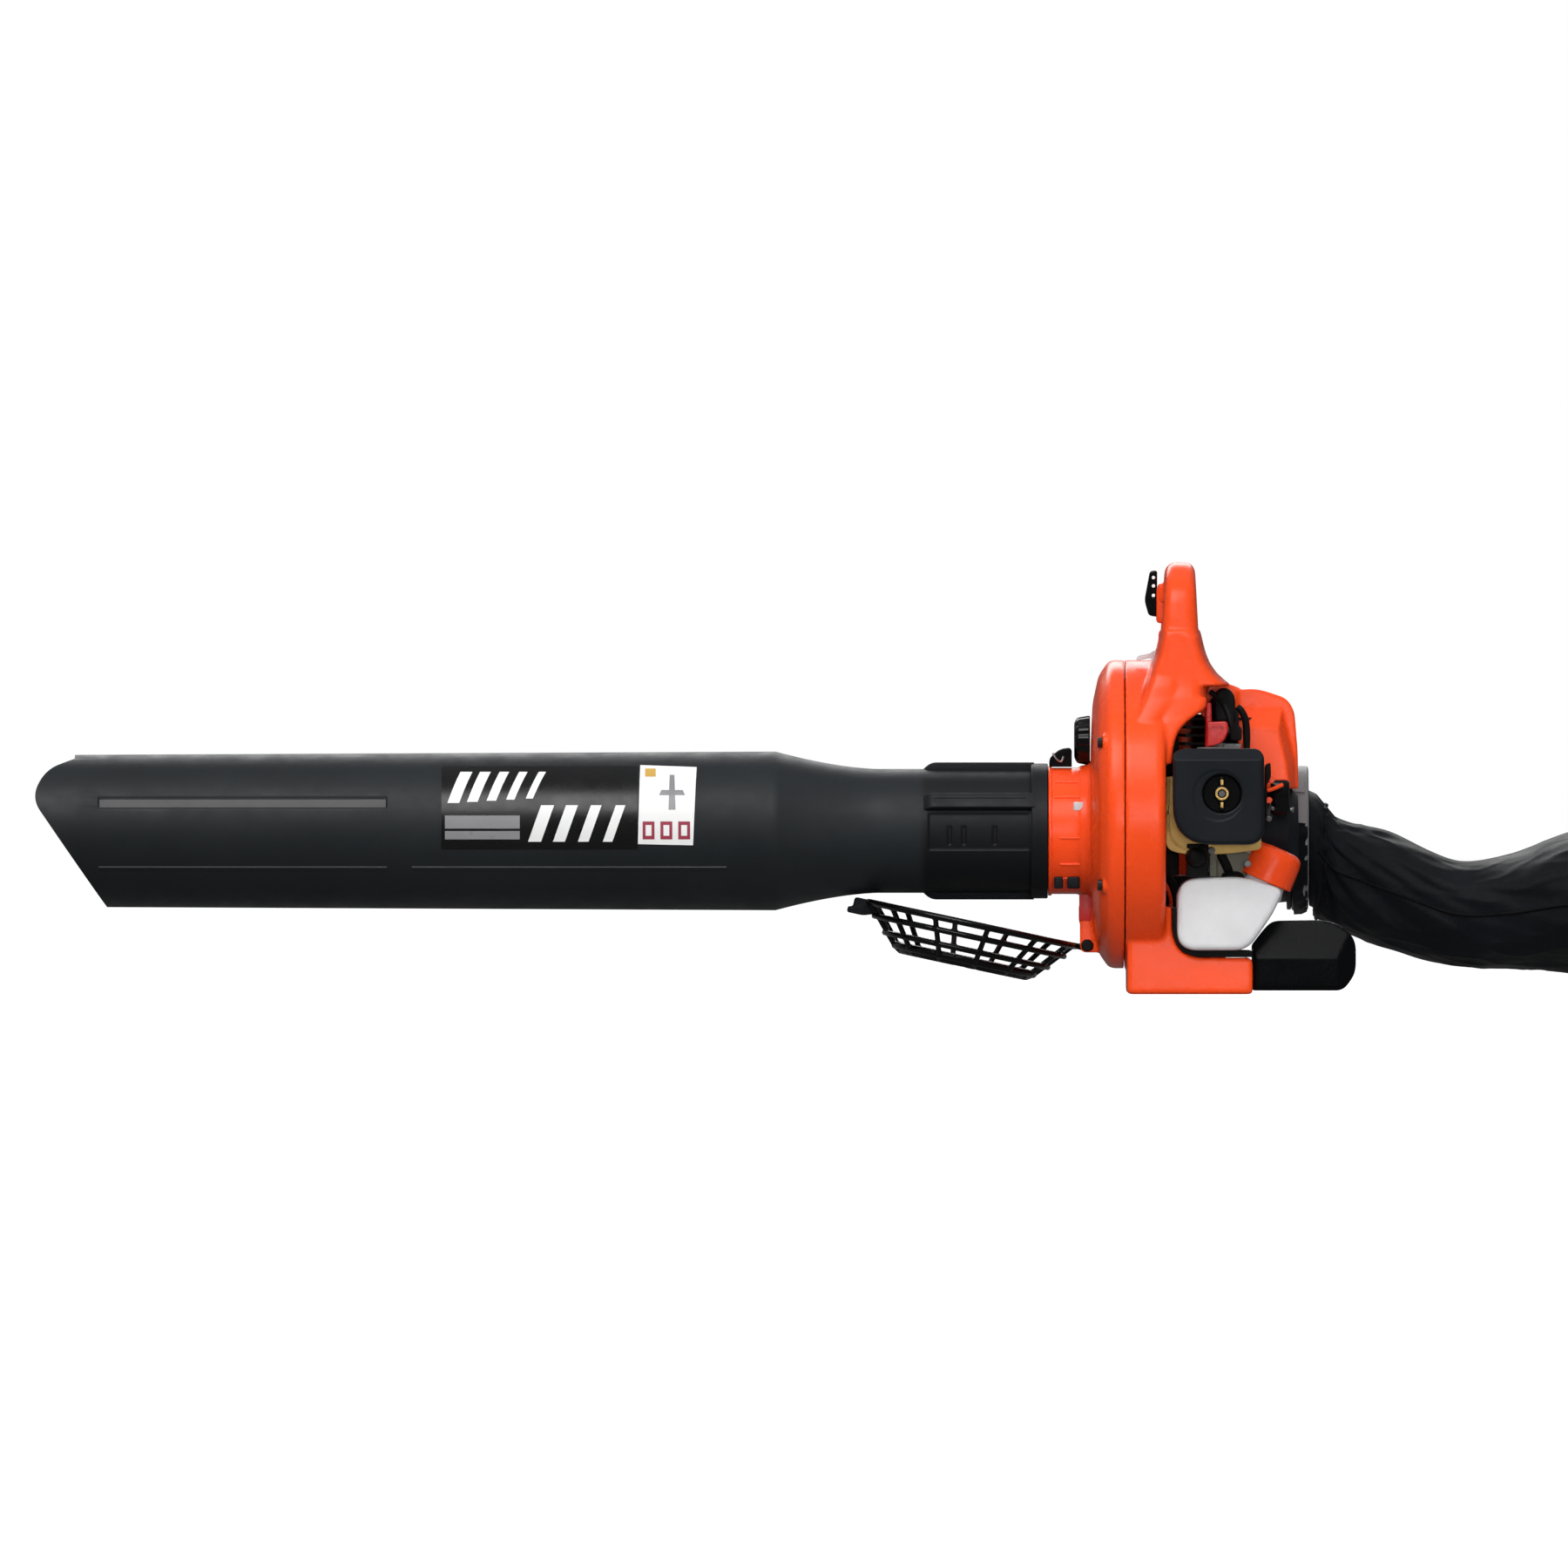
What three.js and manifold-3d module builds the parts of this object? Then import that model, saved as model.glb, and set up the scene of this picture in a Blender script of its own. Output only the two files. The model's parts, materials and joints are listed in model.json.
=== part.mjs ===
// Petrol leaf vacuum mulcher: a two-stroke engine drives a shredding fan in an orange case. A long black
// suction tube leads into the fan along its axis, and an elbow leads the shredded leaves to a cloth bag.
//
// Millimetres. +X runs from the suction tube towards the bag, +Y away from the operator, +Z up.
// The origin is the centre of the underside of the stand, on the ground.

import * as THREE from "three";
import { mergeVertices } from "three/addons/utils/BufferGeometryUtils.js";
import Module from "manifold-3d";

const wasm = await Module();
wasm.setup();

// ---------------------------------------------------------------- driving dimensions

const GAP = 0.3; // between pieces that touch
const AXIS_Z = 137.5; // height of the fan and crank axis

const TUBE = {
  tipX: -976, // foremost point of the slanted mouth
  heelX: -911, // lowest point of the mouth
  taperX: -349, // where the wide stretch starts to narrow
  neckX: -262, // where the narrow stretch starts
  ringX: -134, // the end ring that meets the collar
  endX: -119,
  spigotX: -92,
  mouthR: 64,
  wideR: 67,
  neckR: 52.3,
  ringR: 57,
  spigotR: 47.5,
  wall: 2.6,
};

const CASE = {
  z: 151.6, // centre of the scroll, above the fan axis
  r: 130,
  frontX: -83,
  seamX: -55,
  backX: -15,
  wall: 3.5,
  collarX: -118.7,
  collarR: 53.3,
  collarBoreR: 49.5,
};
const DUCT = { x: -49, z: 75, r: 36, boreR: 32.8, endY: 140 }; // the tangential outlet
const STAND = { x0: -53, x1: 53, halfY: 75, topZ: 31 };
const HANDLE = { x0: -22, x1: 6, topZ: 364 };

const HINGE = { x: -86, z: 41 }; // hinge of the inlet grille
const GRILLE = { r: 92, floorR: 58, depth: 40, tilt: 12.1, reach: 99 };

const CYL_X = 24; // axis of the cylinder
const STROKE = 28;
const BORE_R = 17.2;
const ROD_LENGTH = 52;
const PIN_Z = AXIS_Z - STROKE / 2; // crank pin with the piston at the bottom of its stroke
const WRIST_Z = PIN_Z + ROD_LENGTH;

const CAP = { x: 62.5, y: -62, z: 92.5, tilt: 23.5, r: 22.5 };
const PLUG = { x: 27, y: -4, z: 212, tilt: 50 };
const ROPE = { x: 76, z: AXIS_Z + 28.2 };
// Centre, end and size of the ring that holds the bag.
const OUTLET = { y: 210, z: 131, x: 103, r: 61.5, boreR: 55.5 };

// ---------------------------------------------------------------- materials

const finish = (color, roughness, metalness = 0) =>
  new THREE.MeshStandardMaterial({ color, roughness, metalness });

const MATERIALS = {
  orange: finish(0xe8481c, 0.35),
  tubeBlack: finish(0x1b1e20, 0.5),
  gloss: finish(0x0c0c0d, 0.22),
  satin: finish(0x1d1f20, 0.45),
  grey: finish(0x5d5c5e, 0.5),
  alloy: finish(0xb3b1ab, 0.45, 0.9),
  steel: finish(0x9b9b98, 0.3, 1),
  tan: finish(0xa98545, 0.45, 0.6),
  tank: finish(0xdedddc, 0.4),
  clear: finish(0xcfd3cf, 0.25),
  rubber: finish(0x141414, 0.75),
  foam: finish(0x2b2b2c, 0.95),
  ceramic: finish(0xeeeae2, 0.3),
  fabric: finish(0x15171a, 0.85),
  copper: finish(0x8f5a33, 0.5, 0.4),
};

// ---------------------------------------------------------------- solids

// A closed geometry as a manifold-3d solid, turned right side out.
function solidOf(geometry) {
  const bare = geometry.clone();
  for (const name of Object.keys(bare.attributes)) {
    if (name !== "position") bare.deleteAttribute(name);
  }
  const merged = mergeVertices(bare, 1e-3);
  const at = merged.attributes.position;
  const index = merged.index.array;
  const corner = [0, 1, 2].map(() => new THREE.Vector3());
  const kept = [];
  let volume = 0;
  for (let i = 0; i < index.length; i += 3) {
    const [a, b, c] = [index[i], index[i + 1], index[i + 2]];
    if (a === b || b === c || c === a) continue;
    kept.push(a, b, c);
    [a, b, c].forEach((v, k) => corner[k].fromBufferAttribute(at, v));
    volume += corner[0].dot(corner[1].clone().cross(corner[2]));
  }
  const triVerts = new Uint32Array(volume < 0 ? kept.reverse() : kept);
  const vertProperties = new Float32Array(at.array);
  return new wasm.Manifold(new wasm.Mesh({ numProp: 3, vertProperties, triVerts }));
}

// A manifold-3d solid back as a three.js geometry.
function geometryOf(solid) {
  const made = solid.getMesh();
  const geometry = new THREE.BufferGeometry();
  geometry.setAttribute("position", new THREE.BufferAttribute(made.vertProperties.slice(), 3));
  geometry.setIndex(new THREE.BufferAttribute(made.triVerts.slice(), 1));
  geometry.computeVertexNormals();
  return geometry;
}

const join = (...solids) => solids.reduce((a, b) => a.add(b));
const cut = (solid, ...tools) => tools.reduce((a, b) => a.subtract(b), solid);

// Each frame turns a shape's own x, y and depth into the part's directions.
const X = new THREE.Vector3(1, 0, 0);
const Y = new THREE.Vector3(0, 1, 0);
const Z = new THREE.Vector3(0, 0, 1);
const FRAMES = {
  x: new THREE.Matrix4().makeBasis(Y, Z, X), // outline in Y and Z, depth along X
  y: new THREE.Matrix4().makeBasis(Z, X, Y), // outline in Z and X, depth along Y
  z: new THREE.Matrix4().makeBasis(X, Y, Z), // outline in X and Y, depth along Z
};

function box(x0, x1, y0, y1, z0, z1) {
  const geometry = new THREE.BoxGeometry(x1 - x0, y1 - y0, z1 - z0);
  return solidOf(geometry.translate((x0 + x1) / 2, (y0 + y1) / 2, (z0 + z1) / 2));
}

// A solid of revolution about an axis. The profile lists [along, radius], and closes on the axis.
function turned(axis, profile, at = [0, 0, 0], segments = 24) {
  const points = profile.map(([along, radius]) => new THREE.Vector2(radius, along));
  const closed = [new THREE.Vector2(0, profile[0][0]), ...points];
  closed.push(new THREE.Vector2(0, profile[profile.length - 1][0]));
  const geometry = new THREE.LatheGeometry(closed, segments);
  geometry.rotateX(Math.PI / 2).applyMatrix4(FRAMES[axis]);
  return solidOf(geometry.translate(...at));
}

// A round bar along an axis, from and to being places on that axis.
function bar(axis, radius, from, to, at = [0, 0, 0], segments = 20) {
  return turned(axis, [[from, radius], [to, radius]], at, segments);
}

function ring(axis, outer, inner, from, to, at = [0, 0, 0], segments = 24) {
  return cut(
    bar(axis, outer, from, to, at, segments),
    bar(axis, inner, from - 1, to + 1, at, segments),
  );
}

// A closed outline pushed along an axis. Points are in the plane across it: [y, z] along X, [x, z] along
// Y and [x, y] along Z. A point may carry a third value, the radius of its rounded corner.
function pushed(axis, points, from, to, bevel = 0, holes = [], bevelSegments = 1) {
  const shape = outline(axis, points, bevel);
  shape.holes = holes.map((hole) => outline(axis, hole, bevel));
  const geometry = new THREE.ExtrudeGeometry(shape, {
    depth: to - from - 2 * bevel,
    bevelEnabled: bevel > 0,
    bevelThickness: bevel,
    bevelSize: bevel,
    bevelOffset: -bevel,
    bevelSegments,
    curveSegments: 3,
  });
  geometry.translate(0, 0, from + bevel).applyMatrix4(FRAMES[axis]);
  return solidOf(geometry);
}

function outline(axis, points, bevel) {
  const place = axis === "y" ? ([x, z]) => new THREE.Vector2(z, x) : ([u, v]) => new THREE.Vector2(u, v);
  const corners = points.map(place);
  const radii = points.map((point) => point[2] ?? 0);
  if (THREE.ShapeUtils.isClockWise(corners)) {
    corners.reverse();
    radii.reverse();
  }
  const shape = new THREE.Shape();
  corners.forEach((corner, i) => {
    const before = corners[(i + corners.length - 1) % corners.length];
    const after = corners[(i + 1) % corners.length];
    const room = 0.48 * Math.min(corner.distanceTo(before), corner.distanceTo(after));
    const wanted = Math.min(radii[i], room);
    const radius = wanted < 2.4 * bevel ? 0 : wanted; // a corner the bevel would fold over stays sharp
    const start = corner.clone().add(before.clone().sub(corner).setLength(radius || 1e-9));
    const end = corner.clone().add(after.clone().sub(corner).setLength(radius || 1e-9));
    if (i === 0) shape.moveTo(start.x, start.y);
    else shape.lineTo(start.x, start.y);
    if (radius > 0) shape.quadraticCurveTo(corner.x, corner.y, end.x, end.y);
  });
  shape.closePath();
  return shape;
}

// A skin over rings of points, one after another, closed with a fan at each end.
function lofted(rings) {
  const count = rings[0].length;
  const positions = rings.flat().flatMap((p) => [p.x, p.y, p.z]);
  const index = [];
  for (let r = 0; r + 1 < rings.length; r++) {
    for (let i = 0; i < count; i++) {
      const [a, b] = [r * count + i, r * count + ((i + 1) % count)];
      index.push(a, b, b + count, a, b + count, a + count);
    }
  }
  for (const [r, flip] of [[0, true], [rings.length - 1, false]]) {
    const centre = positions.length / 3;
    const mean = rings[r].reduce((sum, p) => sum.add(p), new THREE.Vector3()).divideScalar(count);
    positions.push(mean.x, mean.y, mean.z);
    for (let i = 0; i < count; i++) {
      const [a, b] = [r * count + i, r * count + ((i + 1) % count)];
      index.push(...(flip ? [centre, b, a] : [centre, a, b]));
    }
  }
  const geometry = new THREE.BufferGeometry();
  geometry.setAttribute("position", new THREE.Float32BufferAttribute(positions, 3));
  geometry.setIndex(index);
  return solidOf(geometry);
}

// A tube along a smooth curve through points.
function hose(points, radius, steps = 16, sides = 8) {
  const path = new THREE.CatmullRomCurve3(points.map((p) => new THREE.Vector3(...p)));
  const section = new THREE.Shape();
  for (let i = 0; i < sides; i++) {
    const angle = (2 * Math.PI * i) / sides;
    const [u, v] = [radius * Math.cos(angle), radius * Math.sin(angle)];
    if (i === 0) section.moveTo(u, v);
    else section.lineTo(u, v);
  }
  section.closePath();
  return solidOf(new THREE.ExtrudeGeometry(section, { steps, extrudePath: path }));
}

const moved = (solid, matrix) => solidOf(geometryOf(solid).applyMatrix4(matrix));

// A piece turned about the fan axis direction X, in its own group's frame.
const aboutX = (solid, degrees) =>
  moved(solid, new THREE.Matrix4().makeRotationX(THREE.MathUtils.degToRad(degrees)));

// ---------------------------------------------------------------- the assembly

const machine = new THREE.Group();

function group(parent, position = [0, 0, 0], rotation = [0, 0, 0]) {
  const made = new THREE.Group();
  made.position.set(...position);
  made.rotation.set(...rotation.map((degrees) => THREE.MathUtils.degToRad(degrees)));
  parent.add(made);
  return made;
}

function add(parent, name, solid, material) {
  const mesh = new THREE.Mesh(geometryOf(solid), MATERIALS[material]);
  mesh.name = name;
  parent.add(mesh);
}

const onAxis = group(machine, [0, 0, AXIS_Z]); // pieces centred on the fan and crank axis

// ---------------------------------------------------------------- suction tube

function suctionTube() {
  const t = TUBE;
  const taper = (inset) => {
    const points = [];
    for (const share of [0, 0.3, 0.55, 0.8, 1]) {
      const radius = t.wideR + (t.neckR - t.wideR) * (1 - (1 - share) ** 1.6);
      points.push([t.taperX + (t.neckX - t.taperX) * share, radius - inset]);
    }
    return points;
  };
  const outer = turned(
    "x",
    [[t.tipX - 10, t.mouthR], ...taper(0), [t.ringX, t.neckR - 0.3], [t.ringX, t.ringR],
      [t.endX - GAP, t.ringR], [t.endX - GAP, t.spigotR], [t.spigotX, t.spigotR]],
    [0, 0, 0], 28,
  );
  const inner = turned(
    "x",
    [[t.tipX - 11, t.mouthR - t.wall], ...taper(t.wall), [t.ringX - 8, t.neckR - t.wall],
      [t.ringX, t.spigotR - t.wall], [t.spigotX + 1, t.spigotR - t.wall]],
    [0, 0, 0], 28,
  );
  const ribTop = t.ringR + 1;
  const ribProfile = [[-229, t.neckR - 2], [-218, ribTop], [-131, ribTop], [-131, t.neckR - 2]];
  const ribs = [0, 63, 180, -63].map((degrees) =>
    aboutX(pushed("y", ribProfile, -7, 7), degrees),
  );
  const mouth = pushed(
    "y",
    [[t.tipX - 40, 90], [-940, 90], [-940, 61], [t.tipX + 12, 52, 12], [t.tipX, 28, 10], [t.heelX, -67],
      [t.heelX + 10, -90], [t.tipX - 40, -90]],
    -90, 90,
  );
  add(onAxis, "suction_tube", cut(join(outer, ...ribs), inner, mouth), "tubeBlack");
}

// ---------------------------------------------------------------- fan case, handle and stand

// The scroll's cross-section as [x, radius], inset from its outer face.
function scroll(inset) {
  const c = CASE;
  return turned(
    "x",
    [[c.frontX + inset, 70], [c.frontX + 2 + inset, 95], [c.frontX + 7 + inset, 117],
      [c.frontX + 17, c.r - inset], [c.backX - 6, c.r - inset], [c.backX - inset, c.r - 7 - inset]],
    [0, 0, c.z], 40,
  );
}

// Where the four screws join the two halves of the case, as [y, z].
const SCREWS = [[-104, 212], [104, 212], [-104, 92], [84, 237]];

function fanCase() {
  const c = CASE;
  const cavity = join(
    scroll(c.wall),
    bar("x", c.collarBoreR, c.collarX - 5, c.frontX + 10, [0, 0, AXIS_Z], 28),
    bar("y", DUCT.boreR, 60, DUCT.endY + 5, [DUCT.x, 0, DUCT.z], 24),
  );
  const body = join(
    scroll(0),
    bar("x", c.collarR, c.collarX, c.frontX + 5, [0, 0, AXIS_Z], 28),
    bar("y", DUCT.r, 60, DUCT.endY, [DUCT.x, 0, DUCT.z], 24),
    ...SCREWS.map(([y, z]) => bar("x", 7, -74, -38, [0, y, z], 10)),
  );
  const screwHoles = SCREWS.map(([y, z]) =>
    turned("x", [[-90, 5], [-74, 5], [-74, 2.8], [-42, 2.8]], [0, y, z], 10),
  );
  const ears = cut(
    join(
      box(HINGE.x - 6, -74, 12, 18, HINGE.z - 6, 76),
      box(HINGE.x - 6, -74, -18, -12, HINGE.z - 6, 76),
      box(HINGE.x - 7, -74, -18, 18, 60, 76),
    ),
    bar("y", 2.8, -20, 20, [HINGE.x, 0, HINGE.z], 10),
  );
  const front = box(-200, c.seamX - GAP / 2, -200, 200, 0, 400);
  const back = box(c.seamX + GAP / 2, 200, -200, 200, -10, 400);
  add(machine, "fan_case_front", cut(join(body, ears), cavity, ...screwHoles).intersect(front), "orange");
  const rear = cut(
    join(body, handle(), shroud(), stand(), flywheelRing()),
    cavity,
    bar("x", 16, -25, 0, [0, 0, AXIS_Z], 16),
    ...screwHoles,
    box(HANDLE.x0 + 5, HANDLE.x1 - 5, 21, 68, 324, 354), // slot for the trigger
    bar("x", 2.3, HANDLE.x0 + 2, HANDLE.x1 - 2, [0, 59, 337], 10), // seat of the trigger's pin
  );
  add(machine, "fan_case_rear", rear.intersect(back), "orange");
  SCREWS.forEach(([y, z], i) => {
    const screw = join(bar("x", 2.4, -78, -44, [0, y, z], 8), bar("x", 4.6, -78, -74 - GAP, [0, y, z], 10));
    add(machine, `case_screw_${i + 1}`, screw, "steel");
  });
}

function handle() {
  const outside = [[-92, 245], [-88, 300], [-78, 346, 16], [-50, HANDLE.topZ, 16], [52, HANDLE.topZ, 20],
    [88, 346, 22], [104, 300, 20], [107, 245]];
  const finger = [[-54, 292, 8], [-56, 318, 10], [-44, 336, 12], [54, 336, 14], [72, 322, 12], [76, 292, 8]];
  const loop = pushed("x", outside, HANDLE.x0, HANDLE.x1, 7, [finger], 2);
  const saddleRings = [[238, -47, 14, -102, 116], [262, -43, 14, -96, 112], [280, -31, 11, -91, 108],
    [289, -23, 7, -88, 106]];
  const saddle = lofted(
    saddleRings.map(([z, x0, x1, y0, y1]) =>
      [[x0, y0 + 12], [x0 + 12, y0], [x1 - 12, y0], [x1, y0 + 12],
        [x1, y1 - 12], [x1 - 12, y1], [x0 + 12, y1], [x0, y1 - 12]]
        .map(([x, y]) => new THREE.Vector3(x, y, z)),
    ),
  );
  const flareSide = [[2, 304], [10, 288, 6], [22, 271, 4], [34, 262.5], [34, 259.5], [2, 259.5]];
  const flare = pushed("y", flareSide, -84, 100);
  const switchSeat = box(HANDLE.x0 - 5, HANDLE.x0 + 2, -48, -22, 319, 346);
  return join(loop, saddle, flare, switchSeat);
}

// The ring round the flywheel that the crankcase bolts against, open beside the ignition coil.
function flywheelRing() {
  const around = ring("x", 38, 35.2, CASE.backX - 1, 2 - GAP, [0, 0, AXIS_Z], 24);
  return cut(around, box(CASE.backX, 5, -42, -28, 124, 151));
}

// The arched wall over the carburettor, and the plate that leads cooling air to the cylinder.
function shroud() {
  const wall = cut(box(-19, 14, -84, -72, 196, 262), bar("y", 42, -90, -60, [27, 0, 199], 28));
  return join(wall, box(-19, 13, -84, 10, 250, 262));
}

function stand() {
  const s = STAND;
  const profile = [[s.x0, 0], [s.x1, 0], [s.x1, s.topZ], [4, s.topZ], [-9, 36, 5], [-15, 50], [-15, 74],
    [s.x0, 66]];
  const pockets = [-1, 1].map((side) =>
    box(s.x0 + 7, s.x1 - 7, Math.min(side * 12, side * 68), Math.max(side * 12, side * 68), -1, 13),
  );
  return cut(pushed("y", profile, -s.halfY, s.halfY, 2), ...pockets);
}

function lowerHandle() {
  const side = [[53 + GAP, 3], [53 + GAP, 41], [62, 52, 3], [70, 60.5, 6], [120, 62.5, 12], [140, 50, 16],
    [140, 16, 10], [130, 3, 2]];
  const grip = pushed("y", side, -70, 70, 5, [], 2);
  const opening = box(60, 113, -55, 55, -5, 80);
  const tankRoom = box(52, 61, -56, 56, 38, 70);
  add(machine, "lower_handle", cut(grip, opening, tankRoom), "gloss");
}

// ---------------------------------------------------------------- inlet grille and tube lock

function grille() {
  // In this frame the rim lies flat, the hinge is at the origin and the dish hangs below.
  const hinged = group(machine, [HINGE.x, 0, HINGE.z], [0, GRILLE.tilt, 0]);
  const centre = [-GRILLE.reach, 0, 0];
  const hoop = (radius, depth, width, height) =>
    ring("z", radius, radius - width, -depth - height, -depth, centre, 24);
  const slope = (radius) => ((GRILLE.r - radius) / (GRILLE.r - GRILLE.floorR)) * (GRILLE.depth - 3);
  const hoops = [
    hoop(GRILLE.r, 0, 5, 5),
    hoop(82, slope(82), 3.5, 4),
    hoop(70, slope(70), 3.5, 4),
    hoop(GRILLE.floorR + 1, GRILLE.depth - 4, 5, 4),
    hoop(24, GRILLE.depth - 4, 5, 4),
  ];
  const ribs = [];
  for (let i = 0; i < 10; i++) {
    const rib = pushed(
      "y",
      [[GRILLE.r - 3, -0.5], [GRILLE.r - 3, -4.5], [GRILLE.floorR, -GRILLE.depth], [21, -GRILLE.depth],
        [21, -GRILLE.depth + 4], [GRILLE.floorR - 3, -GRILLE.depth + 4], [GRILLE.r - 7, -0.5]],
      -1.8, 1.8,
    );
    const turn = new THREE.Matrix4().makeRotationZ((Math.PI * i) / 5).setPosition(...centre);
    ribs.push(moved(rib, turn));
  }
  const knuckle = cut(
    join(bar("y", 6, -11.5, 11.5, [0, 0, 0], 12), box(-12, 0, -11.5, 11.5, -5, 0)),
    bar("y", 2.8, -13, 13, [0, 0, 0], 10),
  );
  add(hinged, "inlet_grille", join(...hoops, ...ribs, knuckle), "gloss");
  const rim = -GRILLE.reach - GRILLE.r - GAP;
  const tab = join(
    box(rim - 9, rim, -10, 10, -15, -1.5),
    box(rim - 13, rim, -10, 10, -15, -11),
  );
  add(hinged, "grille_latch", tab, "satin");
  add(hinged, "grille_hinge_pin", bar("y", 2.5, -18.5, 18.5, [0, 0, 0], 12), "steel");
}

function tubeLock() {
  const top = AXIS_Z + CASE.collarR;
  const block = pushed("y", [[-118, top + GAP], [-118, top + 9, 6], [-108, top + 17, 7], [-99, top + 17],
    [-99, top + GAP]], -11, 11, 2);
  add(machine, "tube_lock_block", block, "gloss");
  const knob = turned("x", [[-97, 14], [-95, 19], [-84, 21], [-84, 9], [-83 - GAP, 9]], [0, 0, 214], 16);
  add(machine, "latch_knob", knob, "gloss");
}

// ---------------------------------------------------------------- rotor

function rotor() {
  const hub = turned("x", [[-70, 14], [-62, 22], [-32, 26], [-24, 26]], [0, 0, 0], 20);
  const disc = bar("x", 98, -27, -24, [0, 0, 0], 32);
  const blades = [];
  for (let i = 0; i < 10; i++) {
    const blade = pushed("y", [[-72, 40], [-68, 96], [-25, 97], [-25, 20], [-60, 20]], -1.2, 1.2);
    blades.push(aboutX(blade, i * 36));
  }
  add(onAxis, "impeller", cut(join(hub, disc, ...blades), bar("x", 6 + GAP, -75, -20)), "alloy");
  const star = [];
  for (let i = 0; i < 8; i++) {
    const [radius, angle] = [i % 2 ? 16 : 43, (i * Math.PI) / 4];
    star.push([radius * Math.cos(angle), radius * Math.sin(angle)]);
  }
  add(onAxis, "shredder_blade", cut(pushed("x", star, -75.5, -73), bar("x", 6 + GAP, -80, -70)), "steel");
  const wheel = turned("x", [[-12, 34], [-2, 34], [-2, 12], [1, 12]], [0, 0, 0], 28);
  add(onAxis, "flywheel", cut(wheel, bar("x", 6 + GAP, -15, 5)), "alloy");
  const web = 22;
  const pinHole = bar("x", 4.8, 12, 36, [0, 0, -STROKE / 2], 10);
  const front = turned("x", [[-82, 8], [-76, 8], [-76, 6], [13, 6], [13, web], [19.5, web]], [0, 0, 0], 20);
  add(onAxis, "crankshaft_front", cut(front, pinHole), "steel");
  const rear = turned("x", [[28.5, web], [35, web], [35, 6], [64, 6]], [0, 0, 0], 20);
  add(onAxis, "crankshaft_rear", cut(rear, pinHole), "steel");
}

// ---------------------------------------------------------------- engine

function crankcase() {
  const around = [0, 0, AXIS_Z];
  const round = join(bar("x", 34, 2, 46, around, 24), bar("x", 38, 2, 6, around, 24));
  const body = join(round, box(3, 45, -29, 29, 148, 162)).intersect(box(0, 50, -50, 50, 90, 162));
  const hollow = join(
    bar("x", 28, 11, 37, around, 24),
    bar("x", 13.3, 3, 45, around, 16),
    bar("x", 7.5, 0, 50, around, 16),
    bar("z", 18, AXIS_Z, 165, [CYL_X, 0, 0], 20),
    box(17, 31, -23.5, 23.5, AXIS_Z, 165),
  );
  const shell = cut(body, hollow);
  add(machine, "crankcase_front", shell.intersect(box(0, CYL_X - GAP / 2, -50, 50, 50, 200)), "alloy");
  add(machine, "crankcase_rear", shell.intersect(box(CYL_X + GAP / 2, 50, -50, 50, 50, 200)), "alloy");
  add(machine, "bearing_front", ring("x", 13, 6 + GAP, 3.3, 10.7, around, 16), "steel");
  add(machine, "bearing_rear", ring("x", 13, 6 + GAP, 37.3, 44.7, around, 16), "steel");
}

function cylinder() {
  const fins = [];
  for (let i = 0; i < 8; i++) {
    const z = 182 + 7 * i;
    const plate = [[-11, -27], [-3, -35], [50, -35], [58, -27], [58, 27], [50, 35], [-3, 35], [-11, 27]];
    fins.push(pushed("z", plate, z, z + 2.2));
  }
  const body = join(
    bar("z", 22, 162 + GAP, 236, [CYL_X, 0, 0], 16),
    box(3, 45, -29, 29, 162 + GAP, 168),
    box(12, 36, -38, -15, 181, 203),
    box(10, 38, 15, 40.9, 179, 201),
    ...fins,
  );
  const plugAxis = new THREE.Matrix4()
    .makeRotationX(THREE.MathUtils.degToRad(PLUG.tilt))
    .setPosition(PLUG.x, PLUG.y, PLUG.z);
  const plugRoom = join(bar("z", 5.4, -6, 40, [0, 0, 0], 10), bar("z", 12.5, 19.5, 60, [0, 0, 0], 12));
  add(
    machine,
    "cylinder",
    cut(
      body,
      bar("z", BORE_R, 160, 218, [CYL_X, 0, 0], 20),
      bar("y", 8, -40, -5, [CYL_X, 0, 191], 10),
      bar("y", 8, 5, 45, [CYL_X, 0, 190], 10),
      moved(plugRoom, plugAxis),
    ),
    "alloy",
  );
}

function runningGear() {
  const piston = cut(
    turned("z", [[-10, 16.7], [8, 16.7], [8, 14.9], [10.5, 14.9], [10.5, 16.7], [12, 16.7]], [0, 0, 0], 20),
    bar("z", 13.2, -11, 7, [0, 0, 0], 16),
    bar("x", 3.3, -18, 18, [0, 0, 0], 10),
  );
  const atWrist = group(machine, [CYL_X, 0, WRIST_Z]);
  add(atWrist, "piston", piston, "alloy");
  add(atWrist, "piston_pin", bar("x", 3, -13.5, 13.5, [0, 0, 0], 10), "steel");
  add(atWrist, "piston_ring", ring("z", 16.9, 15.2, 8.4, 10.1, [0, 0, 0], 20), "steel");
  const rod = cut(
    join(
      bar("x", 6.5, -3.5, 3.5, [0, 0, 0], 12),
      bar("x", 8.2, -3.5, 3.5, [0, 0, -ROD_LENGTH], 14),
      box(-2, 2, -3.5, 3.5, -ROD_LENGTH + 6, -4),
    ),
    bar("x", 3.3, -5, 5, [0, 0, 0], 10),
    bar("x", 4.8, -5, 5, [0, 0, -ROD_LENGTH], 10),
  );
  add(atWrist, "connecting_rod", rod, "steel");
  add(atWrist, "crank_pin", bar("x", 4.4, -4.2, 4.2, [0, 0, -ROD_LENGTH], 10), "steel");
}

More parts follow.
